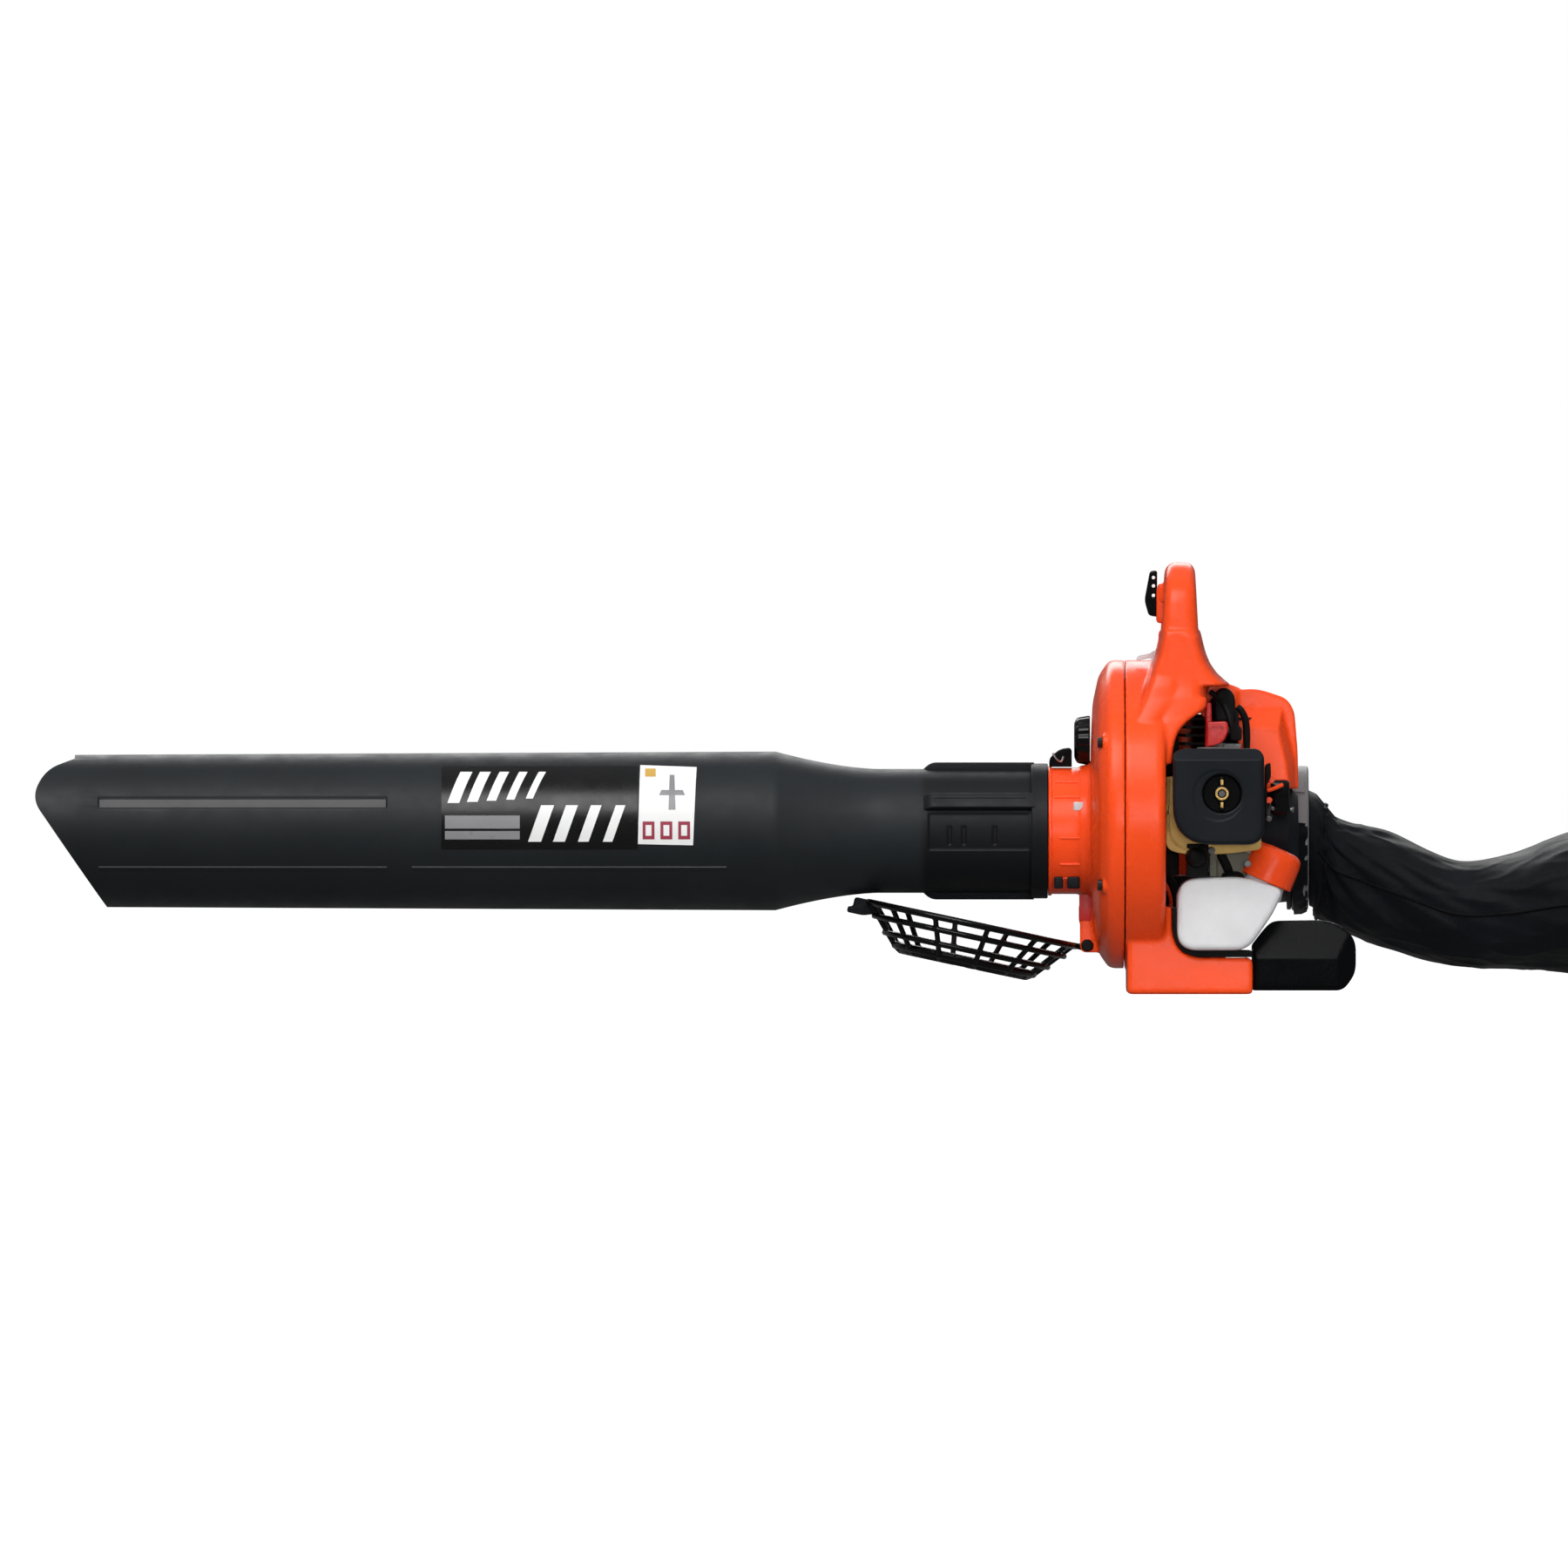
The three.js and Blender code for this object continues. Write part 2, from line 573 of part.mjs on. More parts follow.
function ignition() {
  const tilted = group(machine, [PLUG.x, PLUG.y, PLUG.z], [PLUG.tilt, 0, 0]);
  const plugProfile = [[12.5, 5], [20.2, 5], [20.2, 9.5], [27, 9.5], [27, 5], [42, 4.5]];
  add(tilted, "spark_plug", turned("z", plugProfile, [0, 0, 0], 12), "ceramic");
  const boot = cut(
    turned("z", [[28, 9], [34, 10.5], [48, 11], [54, 8]], [0, 0, 0], 12),
    bar("z", 5.3, 27, 42.5, [0, 0, 0], 10),
  );
  add(tilted, "spark_plug_boot", boot, "rubber");
  const lead = [[36, -50, 243], [43, -50, 240], [47.5, -48, 228], [48, -47, 205], [46, -49, 175],
    [30, -50, 146], [10, -50, 138], [3.5, -50, 137.5]];
  add(machine, "ignition_lead", hose(lead, 3, 20), "rubber");
  const coil = join(box(-11, -1, -43, -34.8, 127, 148), box(-13, 1, -58, -41, 128, 147));
  add(machine, "ignition_coil", coil, "copper");
}

function intake() {
  const port = (y0, y1) => bar("y", 8, y0, y1, [CYL_X, 0, 191], 12);
  add(machine, "insulator_block", cut(box(9, 39, -55, -38 - GAP, 178, 204), port(-60, -30)), "copper");
  add(machine, "carburetor", cut(box(6, 42, -88, -55 - GAP, 174, 208), port(-95, -50)), "alloy");
  const lever = join(
    bar("z", 6, 208 + GAP, 211.5, [CYL_X, -66, 0], 10),
    box(CYL_X, CYL_X + 19, -69, -63, 208 + GAP, 211),
  );
  add(machine, "throttle_shaft_lever", lever, "steel");
  const sheet = [[-14.6, 112, 14], [-14.6, 204, 3], [60, 204, 3], [60, 122, 4], [30, 112, 6]];
  const plate = cut(
    pushed("y", sheet, -91, -88 - GAP),
    port(-95, -80),
  );
  add(machine, "intake_plate", plate, "tan");
  const choke = join(
    bar("y", 6, -94, -91 - GAP, [2, 0, 194], 10),
    pushed("y", [[2, 190], [2, 198], [-9, 203, 3], [-14, 199, 3], [-12, 194, 3]], -94, -91 - GAP),
  );
  add(machine, "choke_lever", choke, "satin");
  const bulb = turned("y", [[-100, 3], [-99, 6], [-96, 8], [-91 - GAP, 9]], [5, 0, 115.5], 12);
  add(machine, "primer_bulb", bulb, "clear");
}

// The knob's place on the air cleaner's face.
const KNOB = { x: 26.5, z: 169 };

function airCleaner() {
  const face = (inset) => [[-14.6 + inset, 126 + inset, 22], [-14.6 + inset, 207 - inset, 7],
    [62 - inset, 207 - inset, 7], [62 - inset, 126 + inset, 11]];
  const at = [KNOB.x, 0, KNOB.z];
  const shell = cut(
    pushed("y", face(0), -130, -95, 5, [], 2),
    cut(pushed("y", face(2.5), -127.5, -90, 3), bar("y", 21.5, -130, -113.5, at, 20)),
    bar("y", 19, -135, -115.7, at, 20),
    bar("y", 3.4, -120, -110, at, 10),
  );
  add(machine, "air_cleaner_cover", shell, "satin");
  const foam = cut(
    pushed("y", face(4), -125, -95.5),
    bar("y", 23, -130, -111, at, 16),
    bar("y", 4, -112, -90, at, 10),
  );
  add(machine, "air_filter_element", foam, "foam");
  const knob = join(
    bar("y", 15.5, -119.5, -116, at, 18),
    bar("y", 6.5, -127, -119, at, 12),
    box(KNOB.x - 2.2, KNOB.x + 2.2, -126, -119, KNOB.z - 15, KNOB.z + 15),
    bar("y", 3, -117, -97, at, 10),
  );
  add(machine, "cover_knob", knob, "gloss");
}

function fuelSystem() {
  const wall = 2.5;
  const body = (w) => [[-11 + w, 37 + w, 15], [-11 + w, 98 - w, 18], [45, 99 - w, 4],
    [79 - 1.4 * w, 88.5 - 0.6 * w, 5], [61 - 1.2 * w, 55, 4], [48 - w, 37 + w, 6]];
  const neckAt = new THREE.Matrix4()
    .makeRotationY(THREE.MathUtils.degToRad(CAP.tilt))
    .setPosition(CAP.x, CAP.y, CAP.z);
  const neck = moved(bar("z", 17, -6, 12, [0, 0, 0], 20), neckAt);
  const neckBore = moved(bar("z", 13.5, -20, 13, [0, 0, 0], 16), neckAt);
  const tank = cut(
    join(pushed("y", body(0), -88, 15, 6, [], 2), neck),
    pushed("y", body(wall), -88 + wall, 15 - wall, 5),
    neckBore,
  );
  add(machine, "fuel_tank", tank, "tank");
  const tilted = group(machine, [CAP.x, CAP.y, CAP.z], [0, CAP.tilt, 0]);
  const cap = cut(
    turned("z", [[3.5, CAP.r], [20, CAP.r - 0.5], [25, CAP.r - 3], [27, CAP.r - 8]], [0, 0, 0], 20),
    bar("z", 17 + 2 * GAP, 3, 13, [0, 0, 0], 20),
  );
  add(tilted, "fuel_cap", cap, "orange");
  const feed = [[20, -76, 173.5], [21, -78, 150], [26, -74, 128], [33, -60, 112], [34, -52, 103.5]];
  add(machine, "fuel_hose", hose(feed, 3.2, 12), "rubber");
  add(machine, "tank_cushion", box(6, 44, -66, 8, STAND.topZ + GAP, 37 - GAP), "rubber");
}

function exhaust() {
  const body = pushed("y", [[4, 174], [4, 226], [60, 226], [60, 174]], 40.9 + GAP, 92, 4);
  add(machine, "muffler", join(body, bar("y", 7, 90, 97, [34, 0, 198], 12)), "steel");
}

function engineCover() {
  const tall = (w) => [[41, 173 - w], [41, 257 - w], [58, 257.5 - w, 4], [82 - w, 249.5 - w, 5],
    [88.5 - w, 240, 5], [92 - w, 200], [92 - w, 173 - w]];
  const low = (w) => [[-11 + w, 173 - w], [-11 + w, 228, 4], [-4, 236 - w, 4], [50, 236 - w], [50, 173 - w]];
  const outside = join(pushed("y", tall(0), -40, 104, 5), pushed("y", low(0), 38, 104, 5));
  const inside = join(
    pushed("y", tall(2.5), -37.5, 101.5, 4),
    box(35, 60, -36, 37.5, 160, 237),
    box(35, 60, 37, 101, 160, 233),
    pushed("y", low(2.5), 40.5, 101.5, 4),
    box(-8, 60, 41, 99, 160, 180),
    box(30, 89, -37, 99, 160, 180),
  );
  const openings = join(box(20, 48, 98, 108, 186, 212), box(8, 40, 37, 42, 160, 203));
  add(machine, "engine_cover", cut(outside, inside, openings), "orange");
}

// ---------------------------------------------------------------- recoil starter

function starter() {
  const around = [0, 0, AXIS_Z];
  const housing = join(
    turned("x", [[46 + GAP, 37], [86, 37], [92, 31]], around, 28),
    box(70, 82, -42, -18, ROPE.z - 6.5, ROPE.z + 6.5),
  );
  const hollow = cut(
    turned("x", [[45, 34.5], [85, 34.5], [89, 30]], around, 28),
    bar("x", 7.6, 67, 90, around, 14),
  );
  const eyelet = bar("y", 2.2, -50, 5, [ROPE.x, 0, ROPE.z], 10);
  add(machine, "starter_housing", cut(housing, hollow, eyelet), "satin");
  const reel = cut(
    turned("x", [[70, 30], [72, 30], [72, 26], [80, 26], [80, 30], [82, 30]], around, 24),
    bar("x", 8, 69, 83, around, 14),
  );
  add(machine, "starter_reel", reel, "satin");
  add(machine, "recoil_spring", ring("x", 25, 12, 83, 87, around, 16), "steel");
  add(machine, "starter_rope", bar("y", 1.4, -42 - 2 * GAP, 4, [ROPE.x, 0, ROPE.z], 8), "fabric");
  const grip = pushed(
    "x",
    [[-43, -6], [-43, 6], [-50, 8], [-53, 15, 4], [-63, 15, 4], [-66, 0, 6], [-63, -15, 4], [-53, -15, 4],
      [-50, -8]].map(([y, z, round]) => [y, ROPE.z + z, round]),
    ROPE.x - 8, ROPE.x + 8, 3,
  );
  add(machine, "starter_grip", grip, "gloss");
}

// ---------------------------------------------------------------- controls on the handle

function controls() {
  const blade = cut(
    pushed(
      "x",
      [[65, 342, 2], [58, 344], [28, 343.5, 2], [23.5, 338, 2], [25, 327, 4], [34, 320, 5], [46, 317, 5],
        [57, 321, 4], [64, 331, 4]],
      HANDLE.x0 + 6, HANDLE.x1 - 6, 1.5,
    ),
    bar("x", 2.3, -30, 20, [0, 59, 337], 10),
  );
  add(machine, "throttle_trigger", blade, "gloss");
  add(machine, "trigger_pin", bar("x", 2, HANDLE.x0 + 2.5, HANDLE.x1 - 2.5, [0, 59, 337], 10), "steel");
  const lever = pushed(
    "y",
    [[-27 - GAP, 318], [-27 - GAP, 357], [-33, 357, 2], [-38, 331, 3], [-34, 319, 3]],
    -46, -24, 2,
  );
  add(machine, "control_lever", lever, "gloss");
  const cable = [[17, -60, 255], [24, -61, 249], [31, -66, 240], [35, -69, 227], [36, -66, 215]];
  add(machine, "throttle_cable", hose(cable, 2.3, 14), "rubber");
}

// ---------------------------------------------------------------- elbow and bag

const circle = (count, place) =>
  Array.from({ length: count }, (_, i) => place((2 * Math.PI * i) / count));

function outletElbow() {
  const path = new THREE.CubicBezierCurve3(
    new THREE.Vector3(DUCT.x, 132, DUCT.z),
    new THREE.Vector3(DUCT.x, 192, DUCT.z),
    new THREE.Vector3(-5, OUTLET.y, OUTLET.z),
    new THREE.Vector3(OUTLET.x - 3, OUTLET.y, OUTLET.z),
  );
  const steps = 10;
  const skin = (inset) => {
    const rings = [];
    for (let i = 0; i <= steps; i++) {
      const share = i / steps;
      const radius = 40.5 + (OUTLET.boreR - 42.5) * Math.min(1, Math.max(0, share - 0.12) / 0.75) - inset;
      const centre = path.getPoint(share);
      const along = path.getTangent(share);
      if (inset && (i === 0 || i === steps)) centre.addScaledVector(along, i ? 2 : -2);
      const up = Z.clone().addScaledVector(along, -Z.dot(along)).normalize();
      const side = along.clone().cross(up);
      rings.push(
        circle(18, (a) =>
          centre
            .clone()
            .addScaledVector(side, radius * Math.cos(a))
            .addScaledVector(up, radius * Math.sin(a)),
        ),
      );
    }
    return lofted(rings);
  };
  add(machine, "outlet_elbow", cut(skin(0), skin(2.6)), "tubeBlack");
  const centre = [0, OUTLET.y, OUTLET.z];
  add(machine, "bag_ring", ring("x", OUTLET.r, OUTLET.boreR, OUTLET.x - 15, OUTLET.x, centre, 28), "grey");
}

// The bag's cross-sections: [x, lowest z, highest z, half width].
const BAG = [
  [103.3, 71, 175, 54], [143, 54, 158, 56], [176, 42, 150, 60], [231, 28, 126, 70], [276, 25, 130, 92],
  [325, 21, 149, 126], [400, 6, 172, 164], [480, 0, 184, 186], [560, 0, 182, 192], [635, 0, 160, 184],
  [695, 0, 122, 168], [732, 4, 74, 156], [750, 18, 40, 148],
];

function bag() {
  const skin = (w) =>
    lofted(
      BAG.map(([x, low, high, half], i) => {
        const place = w && (i === 0 || i === BAG.length - 1) ? x - 3 : x;
        const [centre, rise] = [(low + high) / 2, (high - low) / 2 - w];
        const power = 0.72 + 0.28 * Math.max(0, 1 - i / 3); // round at the neck, squarer along the body
        const bend = (value) => Math.sign(value) * Math.abs(value) ** power;
        return circle(20, (a) => {
          const y = OUTLET.y + (half - w) * bend(Math.cos(a));
          return new THREE.Vector3(place, y, centre + rise * bend(Math.sin(a)));
        });
      }),
    );
  add(machine, "collection_bag", cut(skin(0), skin(1.6)), "fabric");
  const slider = join(box(751, 757, 316, 326, 24, 34), box(753, 755, 303, 318, 21, 29));
  add(machine, "zipper_slider", slider, "steel");
}

suctionTube();
fanCase();
lowerHandle();
grille();
tubeLock();
rotor();
crankcase();
cylinder();
runningGear();
ignition();
intake();
airCleaner();
fuelSystem();
exhaust();
engineCover();
starter();
controls();
outletElbow();
bag();

export default machine;
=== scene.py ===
import json
import math

import bmesh
import bpy
import numpy as np
from mathutils import Matrix, Vector, noise


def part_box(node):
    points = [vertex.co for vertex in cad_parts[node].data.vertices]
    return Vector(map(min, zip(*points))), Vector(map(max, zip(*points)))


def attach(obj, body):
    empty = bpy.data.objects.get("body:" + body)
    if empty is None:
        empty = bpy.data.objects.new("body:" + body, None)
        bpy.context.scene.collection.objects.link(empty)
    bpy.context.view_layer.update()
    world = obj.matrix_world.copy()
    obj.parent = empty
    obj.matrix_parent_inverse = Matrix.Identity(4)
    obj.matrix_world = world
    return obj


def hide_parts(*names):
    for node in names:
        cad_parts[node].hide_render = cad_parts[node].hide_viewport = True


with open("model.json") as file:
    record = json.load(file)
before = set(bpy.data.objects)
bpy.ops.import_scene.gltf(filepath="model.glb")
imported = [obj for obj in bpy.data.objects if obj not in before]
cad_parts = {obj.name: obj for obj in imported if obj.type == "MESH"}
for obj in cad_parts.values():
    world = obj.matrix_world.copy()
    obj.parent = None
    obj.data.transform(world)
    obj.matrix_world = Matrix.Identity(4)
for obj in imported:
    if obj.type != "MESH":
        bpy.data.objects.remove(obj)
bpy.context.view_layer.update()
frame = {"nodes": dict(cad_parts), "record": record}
MM = 0.001


def box_mm(node):
    """A CAD node's lowest and highest corner, in millimetres."""
    low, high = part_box(node)
    return Vector(low) / MM, Vector(high) / MM


# ---------------------------------------------------------------- materials

def material(name, color, roughness, metallic=0.0, specular=0.5, coat=0.0, sheen=0.0, subsurface=0.0):
    made = bpy.data.materials.new(name)
    made.use_nodes = True
    shader = made.node_tree.nodes["Principled BSDF"]
    shader.inputs["Base Color"].default_value = (*color, 1)
    shader.inputs["Roughness"].default_value = roughness
    shader.inputs["Metallic"].default_value = metallic
    shader.inputs["Specular IOR Level"].default_value = specular
    shader.inputs["Coat Weight"].default_value = coat
    shader.inputs["Coat Roughness"].default_value = 0.15
    shader.inputs["Sheen Weight"].default_value = sheen
    shader.inputs["Sheen Roughness"].default_value = 0.4
    shader.inputs["Subsurface Weight"].default_value = subsurface
    shader.inputs["Subsurface Radius"].default_value = (0.006, 0.006, 0.005)
    return made


class Nodes:
    """Short names for the nodes of one material."""

    def __init__(self, made):
        self.tree = made.node_tree
        self.shader = self.tree.nodes["Principled BSDF"]
        self.place = self.tree.nodes.new("ShaderNodeTexCoord").outputs["Object"]

    def link(self, source, target):
        self.tree.links.new(source, target)

    def stretched(self, scale):
        node = self.tree.nodes.new("ShaderNodeMapping")
        node.inputs["Scale"].default_value = scale
        self.link(self.place, node.inputs["Vector"])
        return node.outputs["Vector"]

    def noise(self, scale, detail=3.0, rough=0.55, place=None):
        node = self.tree.nodes.new("ShaderNodeTexNoise")
        node.inputs["Scale"].default_value = scale
        node.inputs["Detail"].default_value = detail
        node.inputs["Roughness"].default_value = rough
        self.link(place or self.place, node.inputs["Vector"])
        return node.outputs["Fac"]

    def cells(self, scale, feature="F1", place=None):
        node = self.tree.nodes.new("ShaderNodeTexVoronoi")
        node.feature = feature
        node.inputs["Scale"].default_value = scale
        self.link(place or self.place, node.inputs["Vector"])
        return node.outputs["Distance"]

    def bands(self, scale, direction, profile="SIN"):
        node = self.tree.nodes.new("ShaderNodeTexWave")
        node.bands_direction = direction
        node.wave_profile = profile
        node.inputs["Scale"].default_value = scale
        node.inputs["Distortion"].default_value = 0.4
        node.inputs["Detail Scale"].default_value = 1.5
        self.link(self.place, node.inputs["Vector"])
        return node.outputs["Fac"]

    def along(self, axis):
        node = self.tree.nodes.new("ShaderNodeSeparateXYZ")
        self.link(self.place, node.inputs[0])
        return node.outputs[axis]

    def span(self, value, low, high, start=0.0, end=1.0):
        node = self.tree.nodes.new("ShaderNodeMapRange")
        for socket, number in zip(("From Min", "From Max", "To Min", "To Max"), (start, end, low, high)):
            node.inputs[socket].default_value = number
        self.link(value, node.inputs["Value"])
        return node.outputs["Result"]

    def math(self, how, a, b):
        node = self.tree.nodes.new("ShaderNodeMath")
        node.operation = how
        for socket, value in zip(node.inputs, (a, b)):
            if isinstance(value, (int, float)):
                socket.default_value = value
            else:
                self.link(value, socket)
        return node.outputs["Value"]

    def mix(self, share, first, second):
        node = self.tree.nodes.new("ShaderNodeMix")
        node.data_type = "RGBA"
        for socket, value in zip((node.inputs[6], node.inputs[7]), (first, second)):
            if isinstance(value, tuple):
                socket.default_value = (*value, 1)
            else:
                self.link(value, socket)
        self.link(share, node.inputs[0])
        return node.outputs[2]

    def color(self, source):
        self.link(source, self.shader.inputs["Base Color"])

    def roughness(self, source):
        self.link(source, self.shader.inputs["Roughness"])

    def bump(self, *layers):
        """Each layer is (height, depth in millimetres)."""
        normal = None
        for height, depth in layers:
            node = self.tree.nodes.new("ShaderNodeBump")
            node.inputs["Strength"].default_value = 1.0
            node.inputs["Distance"].default_value = depth * MM
            self.link(height, node.inputs["Height"])
            if normal:
                self.link(normal, node.inputs["Normal"])
            normal = node.outputs["Normal"]
        self.link(normal, self.shader.inputs["Normal"])


def moulded_plastic(name, color, roughness, grain=0.02, tint=0.12, dust=0.04, specular=0.5, coat=0.0):
    """Moulded plastic: soft colour drift, faint dust in patches, fine grain and rubbed, shinier spots."""
    made = material(name, color, roughness, specular=specular, coat=coat)
    n = Nodes(made)
    drift = n.noise(9, 4)
    dark = tuple(c * (1 - tint) for c in color)
    light = tuple(min(1, c * (1 + tint) + 0.001) for c in color)
    tinted = n.mix(n.span(drift, 0, 1, 0.3, 0.7), dark, light)
    patches = n.span(n.noise(23, 6, 0.7), 0, dust, 0.5, 0.75)
    n.color(n.mix(patches, tinted, (0.45, 0.42, 0.38)))
    rubbed = n.span(n.noise(40, 5, 0.65), roughness - 0.06, roughness + 0.1, 0.3, 0.7)
    n.roughness(rubbed)
    scratches = n.cells(190, "DISTANCE_TO_EDGE", n.stretched((1, 1, 7)))
    n.bump((n.noise(1500, 2), grain), (n.span(scratches, 0, 1, 0.0, 0.012), grain * 0.5))
    return made


def darker_beyond(made, start, end, dark):
    """Fade a finished plastic to a darker moulding along the object's length."""
    n = Nodes(made)
    plain = n.shader.inputs["Base Color"].links[0].from_socket
    n.color(n.mix(n.span(n.along("X"), 0, 1, start, end), plain, dark))


def bare_metal(name, color, roughness, grain=0.03, stretch=(1, 1, 1), metallic=1.0):
    made = material(name, color, roughness, metallic=metallic)
    n = Nodes(made)
    place = n.stretched(stretch)
    stain = n.span(n.noise(30, 6, 0.7), 0, 1, 0.35, 0.7)
    n.color(n.mix(stain, tuple(c * 0.7 for c in color), color))
    n.roughness(n.span(n.noise(60, 5, 0.6, place), roughness - 0.08, roughness + 0.15, 0.3, 0.7))
    n.bump((n.noise(1300, 3, 0.6, place), grain), (n.noise(260, 3), grain))
    return made


def woven(name, color, roughness=0.85):
    """Plain-woven synthetic cloth: crossing threads, slubs and soft sheen."""
    made = material(name, color, roughness, specular=0.14, sheen=0.01)
    n = Nodes(made)
    warp, weft = n.bands(330, "X"), n.bands(330, "Y")
    rise = n.bands(330, "Z")
    threads = n.math("MAXIMUM", n.math("MULTIPLY", warp, weft), n.math("MULTIPLY", rise, warp))
    slubs = n.noise(700, 3)
    weave = n.math("ADD", threads, n.math("MULTIPLY", slubs, 0.5))
    tone = n.mix(n.span(n.noise(14, 5), 0, 1, 0.3, 0.7), tuple(c * 0.75 for c in color),
                 tuple(c * 1.4 for c in color))
    n.color(n.mix(n.span(weave, 0, 0.35, 0.2, 1.3), tone, tuple(c * 2.2 + 0.001 for c in color)))
    n.roughness(n.span(n.noise(26, 4), roughness - 0.2, roughness + 0.05, 0.3, 0.7))
    n.bump((n.noise(95, 4, 0.6), 0.5), (weave, 0.12))
    return made


def translucent(name, color):
    made = material(name, color, 0.42, specular=0.4, subsurface=0.35)
    n = Nodes(made)
    cloud = n.span(n.noise(26, 5, 0.6), 0, 1, 0.3, 0.72)
    n.color(n.mix(cloud, tuple(c * 0.87 for c in color), color))
    n.roughness(n.span(n.noise(60, 4), 0.34, 0.52, 0.3, 0.7))
    n.bump((n.noise(900, 2), 0.02), (n.noise(120, 3), 0.08))
    return made


ORANGE = moulded_plastic("orange", (0.82, 0.066, 0.010), 0.25, grain=0.012, tint=0.07, dust=0.004,
                         specular=0.24)
TUBE = moulded_plastic("tube_black", (0.010, 0.0125, 0.0145), 0.5, grain=0.015, dust=0.003, specular=0.3)
darker_beyond(TUBE, -0.228, -0.222, (0.004, 0.005, 0.006))
GLOSS = moulded_plastic("gloss_black", (0.0010, 0.0011, 0.0014), 0.14, grain=0.006, dust=0.0012,
                        specular=0.28)
SATIN = moulded_plastic("satin_black", (0.0045, 0.006, 0.0082), 0.4, grain=0.02, dust=0.003, specular=0.22)
# Grey trim, also used to paint highlights on the tube's beads and the bag ring.
GREY = moulded_plastic("grey_trim_and_highlight", (0.16, 0.155, 0.16), 0.45, grain=0.03)
GRIP = moulded_plastic("grip_black", (0.0012, 0.0014, 0.0018), 0.24, grain=0.008, dust=0.001, specular=0.09)
RUBBER = moulded_plastic("rubber", (0.003, 0.003, 0.0032), 0.5, grain=0.04, dust=0.002, specular=0.22)
ELBOW = moulded_plastic("elbow_black", (0.003, 0.0034, 0.004), 0.4, grain=0.015, dust=0.002, specular=0.25)
AMBER = moulded_plastic("phenolic", (0.20, 0.085, 0.03), 0.5, grain=0.04)
RED = moulded_plastic("red_clip", (0.48, 0.008, 0.006), 0.25, grain=0.01, specular=0.7, coat=0.3)
# White vinyl, also used to paint highlights on the control lever.
WHITE = moulded_plastic("white_vinyl_and_highlight", (0.82, 0.82, 0.81), 0.4, grain=0.006, tint=0.03, dust=0.03)
INK = moulded_plastic("label_ink", (0.003, 0.003, 0.0032), 0.25, grain=0.004, dust=0.002, specular=0.35)
INK_GREY = moulded_plastic("label_grey", (0.22, 0.22, 0.23), 0.3, grain=0.004)
OLIVE = moulded_plastic("olive_grey", (0.085, 0.078, 0.055), 0.42, grain=0.02, dust=0.02)
INK_SILVER = moulded_plastic("pale_grey", (0.5, 0.5, 0.51), 0.3, grain=0.01)
INK_RED = moulded_plastic("label_red", (0.33, 0.03, 0.06), 0.35, grain=0.004)
INK_GOLD = moulded_plastic("label_gold", (0.55, 0.33, 0.06), 0.35, grain=0.004)
CERAMIC = moulded_plastic("glazed_ceramic", (0.82, 0.79, 0.73), 0.2, grain=0.005)
FOAM = moulded_plastic("filter_foam", (0.02, 0.02, 0.021), 0.95, grain=0.3, specular=0.1)
ALLOY = bare_metal("cast_alloy", (0.52, 0.51, 0.49), 0.42, grain=0.06)
STEEL = bare_metal("ground_steel", (0.5, 0.5, 0.5), 0.3, stretch=(6, 1, 1))
DARK_STEEL = bare_metal("blackened_steel", (0.09, 0.085, 0.08), 0.38)
# Gold plate, also used to paint reflections on the knob's wing.
GOLD = bare_metal("gold_plate_and_reflection", (0.66, 0.42, 0.13), 0.35, metallic=0.45)
# Bag cloth, also used for the dark sheet painted as shade on the ring's lower half.
CLOTH = woven("bag_cloth_and_painted_shade", (0.0035, 0.0042, 0.0056), 0.6)
TAPE = woven("bag_binding", (0.0028, 0.003, 0.0036), 0.6)
TANK = translucent("tank_translucent", (0.68, 0.68, 0.69))


# ---------------------------------------------------------------- shapes, in millimetres

AXES = {"x": (1, 2, 0), "y": (2, 0, 1), "z": (0, 1, 2)}  # where a shape's own u, v and depth go


def placed(axis, u, v, along):
    point = [0.0, 0.0, 0.0]
    for place, value in zip(AXES[axis], (u, v, along)):
        point[place] = value
    return point


def fillet(points, steps=5, closed=True):
    """Rounds the corners of an outline. A point may carry a third value, the radius of its corner."""
    out = []
    for i, point in enumerate(points):
        corner = Vector(point[:2])
        radius = point[2] if len(point) > 2 else 0
        if radius <= 0 or (not closed and i in (0, len(points) - 1)):
            out.append(tuple(corner))
            continue
        before, after = Vector(points[i - 1][:2]), Vector(points[(i + 1) % len(points)][:2])
        radius = min(radius, 0.49 * (before - corner).length, 0.49 * (after - corner).length)
        start = corner + (before - corner).normalized() * radius
        end = corner + (after - corner).normalized() * radius
        for k in range(steps + 1):
            t = k / steps
            out.append(tuple((1 - t) ** 2 * start + 2 * t * (1 - t) * corner + t * t * end))
    return out


def shell(points, faces, bevel=0.0, segments=3, edges=None):
    """A closed bmesh from points and faces, its chosen edges bevelled."""
    made = bmesh.new()
    corners = [made.verts.new(p) for p in points]
    made.verts.ensure_lookup_table()
    for face in faces:
        made.faces.new([corners[i] for i in face])
    bmesh.ops.recalc_face_normals(made, faces=made.faces)
    if bevel:
        chosen = [e for e in made.edges if edges(e)] if edges else made.edges[:]
        bmesh.ops.bevel(made, geom=chosen, offset=bevel, segments=segments, profile=0.5, affect="EDGES",
                        clamp_overlap=True)
    return made


